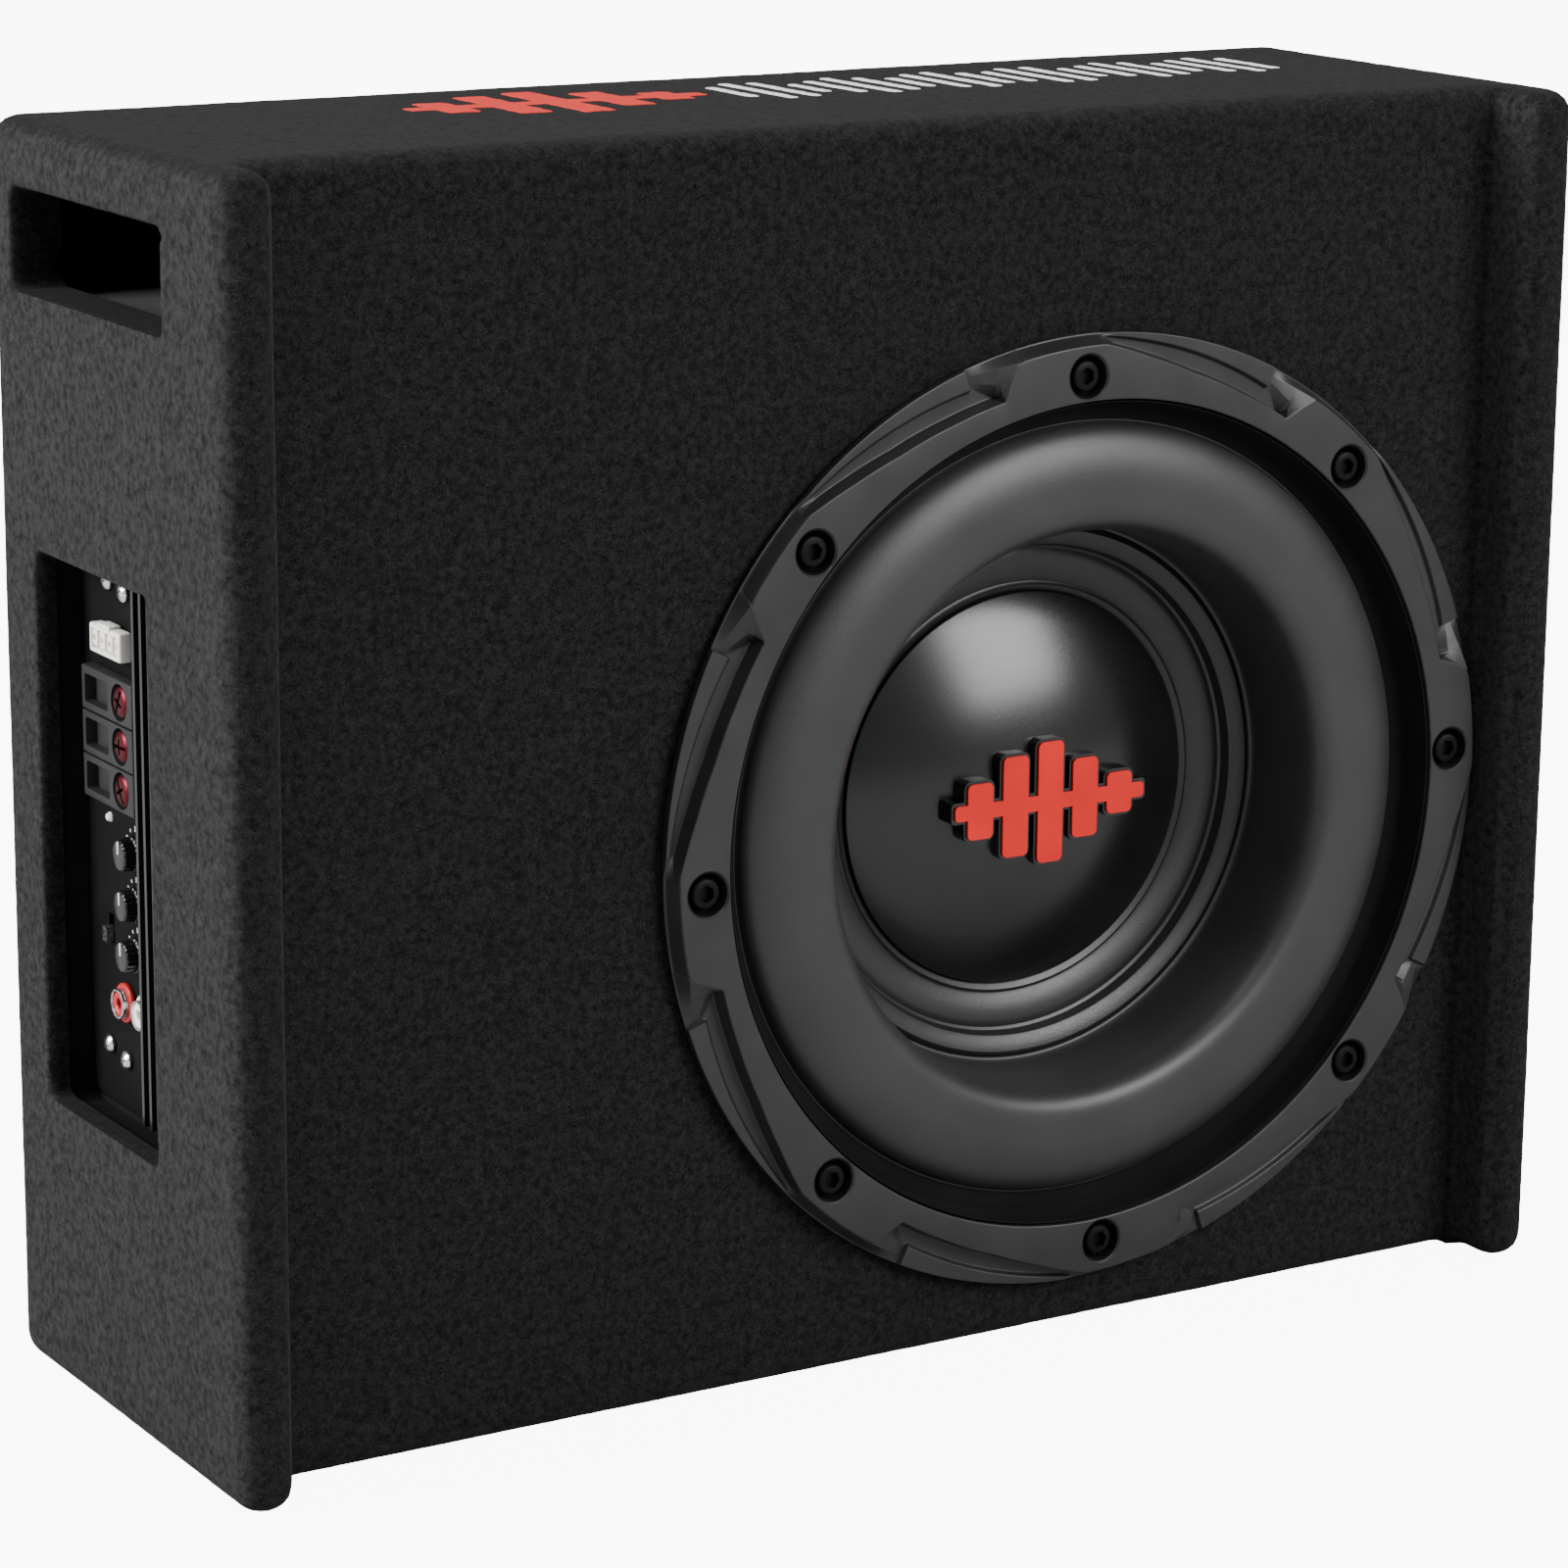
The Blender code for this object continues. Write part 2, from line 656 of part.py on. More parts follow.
def build_badge():
    """Raised waveform on the dust cap: a rule crossed by five bars."""
    half_long, half_wide = BADGE_RULE
    top = CAP_EDGE + CAP_RISE
    badge = span_box("cap_badge", (-half_long, half_long), (-half_wide, half_wide),
                     (BADGE_FOOT, top + 0.002), "badge_red")
    on_driver(badge)
    for index, reach in enumerate(BADGE_BARS):
        x = (index - 2) * BADGE_PITCH
        bar = span_box(f"badge_bar_{index + 1}", (x - BADGE_BAR_HALF, x + BADGE_BAR_HALF),
                       (-reach, reach), (BADGE_FOOT, top + 0.0026), radius=0.0015, segments=2,
                       edges=along(2))
        join(badge, on_driver(bar))
    dome = [(radius, height + GAP) for radius, height in reversed(cap_line(CAP_RADIUS, CAP_RISE, CAP_EDGE))]
    below = CAP_EDGE - PAST
    seat = turned("badge_seat", dome + [(CAP_RADIUS, below), (0.0, below)], steps=MEDIUM, closed=False)
    cut(badge, on_driver(seat))


def build_spider():
    """Corrugated cloth disc that centres the coil."""
    line = [(0.0905, SPIDER_SEAT + 0.0011), (0.0800, SPIDER_SEAT + 0.0011)]
    for step in range(1, 9):
        radius = 0.0780 - step * 0.0460 / 9
        line.append((radius, SPIDER_SEAT + 0.0016 + 0.0015 * (-1) ** step))
    line.append((0.0310, SPIDER_SEAT + 0.0011))
    line.append((COIL_RADIUS + 0.0009, SPIDER_SEAT + 0.0011))
    on_driver(turned("spider", thicken(line, 0.0008), "spider_cloth", steps=20))


def ring(name, inner, outer, bottom, top, finish, steps=MEDIUM, chamfer=0.0):
    """Plain ring, its outer edges broken by a chamfer."""
    profile = [(outer - chamfer, top), (outer, top - chamfer), (outer, bottom + chamfer),
               (outer - chamfer, bottom), (inner, bottom), (inner, top)]
    if not chamfer:
        profile = [(outer, top), (outer, bottom), (inner, bottom), (inner, top)]
    return on_driver(turned(name, profile, finish, steps=steps))


def build_motor():
    """Coil, plates, magnet and pole."""
    ring("coil_former", COIL_RADIUS, COIL_RADIUS + 0.0005, -0.0740, -0.0385, "coil_former")
    ring("coil_winding", COIL_RADIUS + 0.0008, COIL_RADIUS + 0.0020, -0.0724, -0.0564, "copper")
    ring("top_plate", COIL_RADIUS + 0.0030, 0.0600, -0.0680, MOTOR_FACE - 0.0025, "motor_steel",
         chamfer=0.001)
    ring("magnet", 0.0310, 0.0650, -0.0860, -0.0683, "ferrite", chamfer=0.002)
    pole = COIL_RADIUS - 0.0011
    vent = 0.0060
    profile = [(pole, -0.0600), (pole, -0.0863), (0.0600, -0.0863), (0.0600, -0.0935),
               (0.0580, -0.0955), (vent, -0.0955), (vent, -0.0600)]
    on_driver(turned("pole_yoke", profile, "motor_steel", steps=MEDIUM))


def build_leads():
    """Terminal block on the frame and the two flexible leads to the coil."""
    heading = radians(210)
    block = span_box("speaker_terminal", (0.1048, 0.1120), (-0.012, 0.012), (-0.036, -0.022),
                     "socket_white", radius=0.001, segments=1)
    block.data.transform(Matrix.Translation(block.location))
    block.location = (0.0, 0.0, 0.0)
    block.rotation_euler.z = heading
    on_driver(block)
    for name, side in (("tinsel_lead_positive", 1), ("tinsel_lead_negative", -1)):
        points = [(reach, side * 0.006, height) for reach, height in LEAD_PATH]
        lead = wire(name, points, 0.0008, "copper")
        lead.rotation_euler.z = heading
        on_driver(lead)


# ------------------------------------------------------------------ amplifier

def facing_out(item, y, z, x=0.0):
    """Place an item on the amplifier's panel, its local +Z pointing outwards."""
    item.location = (x, y, z)
    item.rotation_euler.y = -pi / 2
    return item


def panel_hole(name, radius, y, z):
    """Round cutter through the amplifier's end plate."""
    return facing_out(cylinder(name, radius, -PLATE_BACK - 0.005, -PLATE_FACE + 0.005), y, z)


def build_end_plate():
    """End plate with a raised panel that fills the opening, drilled for its fittings."""
    plate = span_box("amp_end_plate", (FLANGE_FACE + GAP, PLATE_BACK), grown(BAY_Y, 0.008),
                     grown(BAY_Z, 0.009), "amp_black")
    panel = span_box("plate_panel", (PLATE_FACE, PLATE_BACK), grown(BAY_Y, -0.0007),
                     grown(BAY_Z, -0.0007), radius=0.003, segments=2, edges=along(0))
    join(plate, panel)
    for name, height in KNOB_Z.items():
        cut(plate, panel_hole(f"{name}_hole", SHAFT_RADIUS + 0.0005, KNOB_Y, height))
    for name, y in RCA_Y.items():
        cut(plate, panel_hole(f"rca_hole_{name}", 0.0044, y, RCA_Z))
    cut(plate, panel_hole("lamp_hole", 0.0018, *LED_AT))
    slot_z = (SWITCH_AT[1] - 0.0025, SWITCH_AT[1] + 0.0025 + SWITCH_TRAVEL)
    cut(plate, span_box("switch_slot", (PLATE_FACE - PAST, PLATE_BACK + 0.002),
                        (SWITCH_AT[0] - 0.0018, SWITCH_AT[0] + 0.0018), slot_z))
    for index, (y, z) in enumerate(PLATE_SCREWS):
        cut(plate, panel_hole(f"plate_screw_hole_{index + 1}", 0.0017, y, z))
    gasket = span_box("amp_gasket", (-X_INNER + GAP, FLANGE_FACE), grown(BAY_Y, 0.008),
                      grown(BAY_Z, 0.009), "foam")
    cut(gasket, span_box("amp_gasket_hole", (-X_INNER - PAST, FLANGE_FACE + PAST),
                         grown(BAY_Y, 0.0005), grown(BAY_Z, 0.0005)))


def transformer_outline(reach=0.014, thick=0.0055, steps=8):
    """Round section of the transformer's ring."""
    turn = 2 * pi / steps
    return [(reach + thick * cos(step * turn), -thick * sin(step * turn)) for step in range(steps)]


def build_case():
    """Folded case, cover, board and the parts on the board."""
    x = (PLATE_BACK + GAP, CASE_END)
    case = span_box("amp_chassis", x, (CASE_Y[0] + CASE_WALL + GAP, CASE_Y[1]), CASE_Z, "amp_alloy")
    cut(case, span_box("case_hollow", (x[0] - PAST, x[1] - CASE_WALL),
                       (CASE_Y[0] - PAST, CASE_Y[1] - CASE_WALL), grown(CASE_Z, -CASE_WALL)))
    span_box("amp_cover", x, (CASE_Y[0], CASE_Y[0] + CASE_WALL), CASE_Z, "amp_alloy")
    exit_hole = cylinder("wire_exit", 0.005, -CASE_WALL * 3, CASE_WALL * 3)
    cut(case, facing_out(exit_hole, *WIRE_EXIT_AT, x=CASE_END))
    span_box("circuit_board", *CIRCUIT_BOARD, "board_green")
    can = cylinder("smoothing_capacitor", 0.009, 0.0, 0.026, "capacitor_sleeve", steps=16)
    can.location = CAPACITOR_AT
    can.rotation_euler.x = pi / 2
    core = turned("supply_transformer", transformer_outline(), "ferrite_core", steps=20)
    core.location = TRANSFORMER_AT
    core.rotation_euler.x = pi / 2


def build_heatsink():
    """Finned heatsink beside the connectors."""
    last = FIN_FIRST - (FIN_COUNT - 1) * FIN_PITCH
    y = (last - FIN_THICK / 2, FIN_FIRST + FIN_THICK / 2)
    z = grown(BAY_Z, -0.003)
    base = (PLATE_FACE - GAP - 0.0018, PLATE_FACE - GAP)
    sink = span_box("amp_heatsink", base, y, z, "amp_black")
    for index in range(FIN_COUNT):
        centre = FIN_FIRST - index * FIN_PITCH
        fin = span_box(f"fin_{index + 1}", (FIN_TIP, base[0] + 0.0005),
                       (centre - FIN_THICK / 2, centre + FIN_THICK / 2), z)
        join(sink, fin)


def clamp_screw(index, z, base):
    """One slotted clamp screw in its well."""
    top = base + CLAMP_DEPTH
    screw = turned(f"clamp_screw_{index + 1}", [
        (0.0, top), (CLAMP_RADIUS - 0.0004, top), (CLAMP_RADIUS, top - 0.0004),
        (CLAMP_RADIUS, base), (0.0, base)], "clamp_copper", steps=SMALL, closed=False)
    facing_out(screw, CLAMP_Y, z)
    slot = span_box(f"clamp_slot_{index + 1}", (-0.00055, 0.00055), (-0.006, 0.006),
                    (top - 0.0012, top + 0.002))
    slot.data.transform(Matrix.Translation(slot.location))
    facing_out(slot, CLAMP_Y, z)
    cut(screw, slot)


def build_terminal_block():
    """Power terminal block with three wire entries, each with a clamp screw."""
    pitch = (BLOCK_Z[1] - BLOCK_Z[0]) / 3
    front = PLATE_FACE - GAP - BLOCK_HIGH
    block = span_box("power_terminal_block", (front, PLATE_FACE - GAP), BLOCK_Y, BLOCK_Z,
                     "terminal_grey")
    for index in range(3):
        z = BLOCK_Z[0] + (index + 0.5) * pitch
        well = cylinder(f"clamp_well_{index + 1}", CLAMP_RADIUS + 0.0005, -front - CLAMP_DEPTH,
                        -front + 0.002)
        cut(block, facing_out(well, CLAMP_Y, z))
        cut(block, span_box(f"wire_entry_{index + 1}", (front - PAST, front + CLAMP_DEPTH),
                            (CLAMP_Y + 0.0085, BLOCK_Y[1] - 0.003), (z - 0.0038, z + 0.0038)))
        clamp_screw(index, z, -front - CLAMP_DEPTH + GAP)
    for index in range(1, 3):
        groove_z = BLOCK_Z[0] + index * pitch
        cut(block, span_box(f"block_groove_{index}", (front - PAST, front + 0.0012),
                            grown(BLOCK_Y, 0.002), grown((groove_z, groove_z), 0.0004)))


def build_socket():
    """White plug socket above the terminal block."""
    socket = span_box("high_level_socket", (PLATE_FACE - GAP - SOCKET_HIGH, PLATE_FACE - GAP),
                      SOCKET_Y, SOCKET_Z, "socket_white")
    cut(socket, span_box("socket_mouth", (PLATE_FACE - PAST, PLATE_FACE - 0.0015),
                         grown(SOCKET_Y, -0.0012), grown(SOCKET_Z, -0.0012)))


def build_knobs():
    """Three turning knobs with a mark from the middle to the rim."""
    base = -PLATE_FACE + GAP
    top = base + 0.0050
    tip = -PLATE_BACK + GAP
    for name, height in KNOB_Z.items():
        knob = turned(name, [
            (0.0, top), (KNOB_RADIUS - 0.0008, top), (KNOB_RADIUS, top - 0.0010),
            (KNOB_RADIUS, base), (SHAFT_RADIUS, base), (SHAFT_RADIUS, tip), (0.0, tip)],
            "knob_grey", steps=SMALL, closed=False)
        facing_out(knob, KNOB_Y, height)
        mark = span_box(f"{name}_mark", (-0.0005, 0.0005 + KNOB_RADIUS), (-0.0005, 0.0005),
                        (top - 0.0007, top + 0.002))
        mark.data.transform(Matrix.Translation(mark.location))
        facing_out(mark, KNOB_Y, height)
        cut(knob, mark)


def build_controls():
    """Phase switch, lamp and the block of controls behind the plate."""
    span_box("control_block", *CONTROL_BLOCK, "cable_black")
    y, z = SWITCH_AT
    span_box("phase_switch", (PLATE_FACE - 0.0022, PLATE_BACK - GAP), (y - 0.0014, y + 0.0014),
             (z - 0.0020, z + 0.0020), "bright_steel")
    tip = -PLATE_FACE + LAMP_HIGH
    foot = -PLATE_BACK + GAP
    lamp = turned("power_lamp", [
        (0.0, tip), (0.0009, tip - 0.0003), (LAMP_RADIUS, tip - LAMP_HIGH), (LAMP_RADIUS, foot),
        (0.0, foot)], "lamp_clear", steps=SMALL, closed=False)
    facing_out(lamp, *LED_AT)


def build_rca():
    """Two coaxial signal jacks, each a coloured insulator with a metal sleeve's bore."""
    for side, finish in (("right", "plug_red"), ("left", "socket_white")):
        base = -PLATE_BACK + GAP
        tip = -PLATE_FACE + 0.0035
        jack = turned(f"rca_jack_{side}", [
            (0.0030, tip), (0.0041, tip), (0.0041, -PLATE_FACE + 0.0016),
            (0.0054, -PLATE_FACE + 0.0016), (0.0054, -PLATE_FACE + GAP),
            (0.0041, -PLATE_FACE + GAP), (0.0041, base), (0.0016, base), (0.0016, base + 0.002),
            (0.0030, base + 0.002)], finish, steps=SMALL)
        facing_out(jack, RCA_Y[side], RCA_Z)


def build_plate_screws():
    """Four bright screws that hold the end plate to the case."""
    base = -PLATE_FACE + GAP
    tip = -PLATE_BACK + GAP
    for index, (y, z) in enumerate(PLATE_SCREWS):
        screw = turned(f"plate_screw_{index + 1}", [
            (0.0, base + 0.0018), (0.0016, base + 0.0015), (0.0026, base + 0.0007),
            (0.0026, base), (0.0014, base), (0.0014, tip), (0.0, tip)],
            "bright_steel", steps=SMALL, closed=False)
        facing_out(screw, y, z)


def build_cables():
    """Speaker cables from the amplifier's board to the driver's terminal."""
    for name, finish, shift in (("speaker_wire_positive", "cable_red", 0.0025),
                                ("speaker_wire_negative", "cable_black", -0.0025)):
        points = [(x, y, z + shift) for x, y, z in CABLE_PATH]
        wire(name, points, 0.0012, finish)


def shade_round_parts():
    """Smooth the faceted round meshes, keeping their sharp corners."""
    for item in PARTS.objects:
        if item.type == "MESH" and item.data.polygons:
            item.data.shade_smooth()
            item.data.set_sharp_from_angle(angle=radians(35))


clear_scene()
PARTS = make_collection("powered_car_subwoofer")
CUTTERS = make_collection("cutters")
DRIVER = bpy.data.objects.new("driver_axis", None)
PARTS.objects.link(DRIVER)
DRIVER.location = (DRIVER_X, Y_BAFFLE, DRIVER_Z)
DRIVER.rotation_euler.x = pi / 2

build_sides()
build_box()
build_frame()
build_gasket()
build_driver_screws()
build_surround()
build_cone()
build_dust_cap()
build_badge()
build_spider()
build_motor()
build_leads()
build_end_plate()
build_case()
build_heatsink()
build_terminal_block()
build_socket()
build_knobs()
build_controls()
build_rca()
build_plate_screws()
build_cables()
shade_round_parts()
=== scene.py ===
"""Looks of the powered car subwoofer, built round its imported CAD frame.

Everything is in metres, in the CAD frame: +X to the object's right seen from
the front, the driver faces -Y, +Z up.
"""

import json
from math import cos, pi, radians, sin, sqrt

import bmesh
import bpy
import numpy as np
from mathutils import Matrix, Vector, noise


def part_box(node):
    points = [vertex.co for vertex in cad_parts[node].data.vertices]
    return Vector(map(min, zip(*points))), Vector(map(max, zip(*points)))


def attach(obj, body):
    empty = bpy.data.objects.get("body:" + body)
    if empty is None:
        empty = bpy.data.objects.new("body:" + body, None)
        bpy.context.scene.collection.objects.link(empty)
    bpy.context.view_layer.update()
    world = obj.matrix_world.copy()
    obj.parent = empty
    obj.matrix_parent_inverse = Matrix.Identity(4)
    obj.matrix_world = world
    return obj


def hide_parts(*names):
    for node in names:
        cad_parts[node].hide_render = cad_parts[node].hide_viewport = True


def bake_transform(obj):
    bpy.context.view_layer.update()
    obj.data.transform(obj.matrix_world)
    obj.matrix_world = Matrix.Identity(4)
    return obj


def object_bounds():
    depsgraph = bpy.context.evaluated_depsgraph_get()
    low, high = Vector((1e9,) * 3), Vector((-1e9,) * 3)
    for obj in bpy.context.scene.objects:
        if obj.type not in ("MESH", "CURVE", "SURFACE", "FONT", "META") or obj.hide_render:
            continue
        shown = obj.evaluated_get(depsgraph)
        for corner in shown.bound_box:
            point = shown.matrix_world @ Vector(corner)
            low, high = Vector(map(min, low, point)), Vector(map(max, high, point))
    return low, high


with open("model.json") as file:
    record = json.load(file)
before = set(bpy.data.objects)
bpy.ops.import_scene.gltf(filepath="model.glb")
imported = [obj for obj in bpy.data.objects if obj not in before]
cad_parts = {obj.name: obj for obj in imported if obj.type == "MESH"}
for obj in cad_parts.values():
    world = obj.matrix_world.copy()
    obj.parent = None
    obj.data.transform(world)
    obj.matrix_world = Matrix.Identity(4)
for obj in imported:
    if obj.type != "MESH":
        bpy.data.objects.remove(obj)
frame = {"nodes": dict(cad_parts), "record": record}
CAD_LOW, CAD_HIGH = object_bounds()

MM = 0.001
ON_AXIS = 1e-7

# Places read from the CAD
FRAME_LOW, FRAME_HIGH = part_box("driver_frame")
BAFFLE_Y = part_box("carpet_wrap")[0].y
AXIS_X = (FRAME_LOW.x + FRAME_HIGH.x) / 2
AXIS_Z = (FRAME_LOW.z + FRAME_HIGH.z) / 2
CHEEK_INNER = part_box("carpet_left")[1].x

# Felt: depth of the board with its felt, rounding, unevenness and the print on the top
SKIN = 14 * MM
EDGE_RADIUS = 7 * MM
FELT_RISE = 0.10 * MM
PRINT_Y = 28 * MM
FRAY = 0.45 * MM

# Openings in the left side: y span, z span and how far the felt is turned in
WINDOWS = (((-37 * MM, 58.5 * MM), (303 * MM, 330 * MM), SKIN),
           ((-23 * MM, 48 * MM), (82 * MM, 234 * MM), 6 * MM))

# Driver sizes in metres; heights are measured from the baffle towards the listener
FLANGE_RIM = 136 * MM
BOSS_EDGE = 133.5 * MM
BOSS_FOOT = 135.6 * MM
FLANGE_INNER = 118 * MM
FLANGE_TOP = 7.5 * MM
FLANGE_BOTTOM = 1.6 * MM
SCOOP_FLOOR = 2.6 * MM
BLADE_TOP = 3.9 * MM
BLADE_WIDTH = 5.6 * MM
LANDING = -5.0 * MM
BOLT_COUNT = 8
BOLT_RADIUS = 125 * MM
BOLT_PHASE = radians(92.5)
WELL_RADIUS = 6.2 * MM
WELL_FLOOR = 2.6 * MM
CUTOUT_RADIUS = 119 * MM
LEAD_HEADING = radians(210)
SECTORS = 12
SECTOR_STEPS = 8

# Driver sizes in millimetres, for the profiles of its soft parts
SPIDER_HEIGHT = -44.9
SPIDER_WAVES = (77.0, 33.0)
CAP_RADIUS, CAP_RISE, CAP_EDGE = 57.0, 15.0, -32.7
ROLL_CREST = (93.5, 4.6)
ROLL_SQUARENESS = 4.5
ROLL_STEPS = 22

# Edge of the flange's raised part, as share of the way to the next bolt and radius
RAISED_TURNS = (0.0, 0.06, 0.21, 0.36, 0.54, 0.719, 0.778, 0.80, 1.0)
RAISED_RADII = np.array((133.5, 133.5, 129.6, 126.8, 125.2, 124.4, 132.8, 133.5, 133.5)) * MM
BLADE_END = 0.645
RAMP_INNER = (0.719, 124.4 * MM)
RAMP_BLADE = (BLADE_END, 130.4 * MM)
RAMP_OUTER = (0.778, 132.8 * MM)

# Amplifier end plate, as distances to the left of the middle
PLATE_OUT = -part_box("amp_end_plate")[0].x
CLAMP_Y = 15.5 * MM
CLAMP_WELL = 5.1 * MM
SOCKET_WAYS = 4

# Boards that show through the port or the driver's cut-out are given near-black looks; the fins are polished
SPECIAL_LOOKS = {"port_shelf": "black_board", "top_panel": "black_board", "front_baffle": "foam",
                 "back_panel": "foam", "side_panel_left": "foam", "amp_heatsink": "fin_black"}

# Studio: each soft light as name, place, side and power
WORLD_LIGHT = 0.37
FLOOR_LIFT = 9.0
SOFT_LIGHTS = (("key", (-1.9, 0.42, 1.0), 1.0, 100.0),
               ("driver_softbox", (0.94, -1.86, 1.32), 1.35, 76.0),
               ("upper_left", (-0.90, -1.00, 1.90), 0.35, 7.0),
               ("top", (0.45, 0.75, 1.7), 0.9, 15.0))
LIGHT_TARGET = Vector((0.0, 0.0, 0.17))
WHITE = (1.0, 1.0, 1.0, 1.0)
CAMERA_LENS = 115.3
CAMERA_SPOT = (-0.7203, BAFFLE_Y - 1.1230, 0.4969)
CAMERA_YAW, CAMERA_PITCH, CAMERA_ROLL = radians(31.22), radians(13.91), radians(-0.47)

ROOT = "enclosure"
CONE_BODY = "cone_assembly"


# ---- mesh tools

def mm(*points):
    """Points given in millimetres, as an array in metres."""
    return np.array(points, float) * MM


def mesh_object(name, mesh):
    item = bpy.data.objects.new(name, mesh)
    bpy.context.scene.collection.objects.link(item)
    return item


def from_bmesh(name, form):
    mesh = bpy.data.meshes.new(name)
    form.to_mesh(mesh)
    form.free()
    return mesh_object(name, mesh)


def smooth(item, angle=35):
    item.data.shade_smooth()
    item.data.set_sharp_from_angle(angle=radians(angle))
    return item


def finish_piece(item, slot, body, *replaced, look=None):
    """Give a piece the look of its slot, or the look named instead, put it on its CAD body and hide the nodes
    that it stands for.
    """
    item.data.materials.clear()
    item.data.materials.append(MATERIALS[look or slot])
    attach(item, body)
    if replaced:
        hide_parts(*replaced)


def bend_piece(item, slot, node):
    """Dress a soft piece with the look of its slot, bake its place and hide the node that it stands for."""
    item.data.materials.append(MATERIALS[slot])
    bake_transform(item)
    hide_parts(node)


def evaluated_mesh(item):
    graph = bpy.context.evaluated_depsgraph_get()
    return bpy.data.meshes.new_from_object(item.evaluated_get(graph))


def apply_modifiers(item):
    """Replace an object's mesh by its evaluated mesh."""
    mesh = evaluated_mesh(item)
    item.modifiers.clear()
    item.data = mesh


def vectors(elements, field):
    """One field of a mesh's vertices or faces as an array of triples."""
    values = np.empty(len(elements) * 3, dtype=np.float32)
    elements.foreach_get(field, values)
    return values.reshape(-1, 3).astype(float)


def place_vertices(item, spots):
    item.data.vertices.foreach_set("co", spots.astype(np.float32).ravel())
    item.data.update()


def joined(name, items):
    """Put several meshes into one object and remove the others."""
    form = bmesh.new()
    for item in items:
        form.from_mesh(item.data)
        bpy.data.objects.remove(item, do_unlink=True)
    return from_bmesh(name, form)


def boolean(item, tool, operation="DIFFERENCE"):
    """Apply one exact Boolean and remove its tool."""
    step = item.modifiers.new("cut", "BOOLEAN")
    step.operation = operation
    step.solver = "EXACT"
    step.object = tool
    apply_modifiers(item)
    bpy.data.objects.remove(tool, do_unlink=True)


def block(name, low, high, radius=0.0, segments=4, edges=None):
    """Box between two corners, with its chosen edges rounded."""
    low, high = Vector(low), Vector(high)
    form = bmesh.new()
    bmesh.ops.create_cube(form, size=1.0)
    bmesh.ops.scale(form, vec=high - low, verts=form.verts)
    if radius:
        picked = [edge for edge in form.edges if edges is None or edges(edge)]
        bmesh.ops.bevel(form, geom=picked, offset=radius, segments=segments, profile=0.5,
                        affect="EDGES", clamp_overlap=True)
    bmesh.ops.translate(form, vec=(low + high) / 2, verts=form.verts)
    return from_bmesh(name, form)


def runs_along(axis):
    """Test for the box edges that run along one axis."""
    def test(edge):
        way = edge.verts[0].co - edge.verts[1].co
        return abs(way[axis]) > 0.5 * way.length
    return test


def prism(name, radius, low, high, sides=48):
    """Cylinder along local Z between two heights."""
    form = bmesh.new()
    bmesh.ops.create_cone(form, cap_ends=True, segments=sides, radius1=radius, radius2=radius,
                          depth=high - low)
    bmesh.ops.translate(form, vec=(0, 0, (low + high) / 2), verts=form.verts)
    return from_bmesh(name, form)


def loft_ring(name, sections):
    """Close a ring of equal closed sections, given as an array (turn, point, xyz)."""
    turns, points, _ = sections.shape
    mesh = bpy.data.meshes.new(name)
    turn = np.arange(turns)[:, None]
    point = np.arange(points)[None, :]
    next_turn = (turn + 1) % turns
    next_point = (point + 1) % points
    quads = np.stack([turn * points + point, turn * points + next_point,
                      next_turn * points + next_point, next_turn * points + point], axis=-1)
    mesh.from_pydata(sections.reshape(-1, 3).tolist(), [], quads.reshape(-1, 4).tolist())
    form = bmesh.new()
    form.from_mesh(mesh)
    bmesh.ops.remove_doubles(form, verts=form.verts, dist=1e-6)
    bmesh.ops.recalc_face_normals(form, faces=form.faces)
    form.to_mesh(mesh)
    form.free()
    return mesh_object(name, mesh)


def turned(name, profile, sides):
    """Turn a closed (radius, height) profile about local Z; it may start and end on the axis."""
    return fluted(name, profile, sides, 1, 0.0, 0.0)


def fluted(name, profile, sides, flutes, depth, from_radius):
    """Turn a profile whose points beyond a radius are scalloped by flutes."""
    angles = np.arange(sides) * 2 * pi / sides
    outer, heights = np.array([(max(radius, ON_AXIS), height) for radius, height in profile]).T
    wave = 0.5 + 0.5 * np.cos(flutes * angles)
    share = np.clip((outer - from_radius) / (outer.max() - from_radius), 0, 1)
    radii = outer[None, :] - depth * wave[:, None] * share[None, :]
    sections = np.stack([radii * np.cos(angles)[:, None], radii * np.sin(angles)[:, None],
                         np.tile(heights, (sides, 1))], axis=-1)
    return loft_ring(name, sections)


def round_corners(corners, radii, steps=4):
    """Replace each corner of a closed outline by a small arc with a set point count."""
    count = len(corners)
    result = []
    for index in range(count):
        here = np.array(corners[index], float)
        before = np.array(corners[index - 1], float) - here
        after = np.array(corners[(index + 1) % count], float) - here
        reach_before = np.linalg.norm(before)
        reach_after = np.linalg.norm(after)
        reach = min(radii[index], 0.45 * reach_before, 0.45 * reach_after)
        start = here + before / max(reach_before, 1e-9) * reach
        end = here + after / max(reach_after, 1e-9) * reach
        for step in range(steps + 1):
            share = step / steps
            result.append((1 - share) ** 2 * start + 2 * share * (1 - share) * here + share ** 2 * end)
    return result


def shell_outline(line, thickness):
    """Closed outline of a sheet of even thickness behind a front line."""
    front = np.array(line, float)
    way = np.gradient(front, axis=0)
    way /= np.linalg.norm(way, axis=1)[:, None]
    normal = np.stack([-way[:, 1], way[:, 0]], axis=1)
    back = front + normal * thickness
    return np.vstack([front, back[::-1]])


def spun(item, angle):
    """Turn a piece about local Z."""
    item.data.transform(Matrix.Rotation(angle, 4, "Z"))
    return item


def on_driver(item):
    """Move a piece modelled along local Z onto the driver's axis."""
    place = Matrix.Translation((AXIS_X, BAFFLE_Y, AXIS_Z)) @ Matrix.Rotation(pi / 2, 4, "X")
    item.data.transform(place)
    item.data.update()
    return item


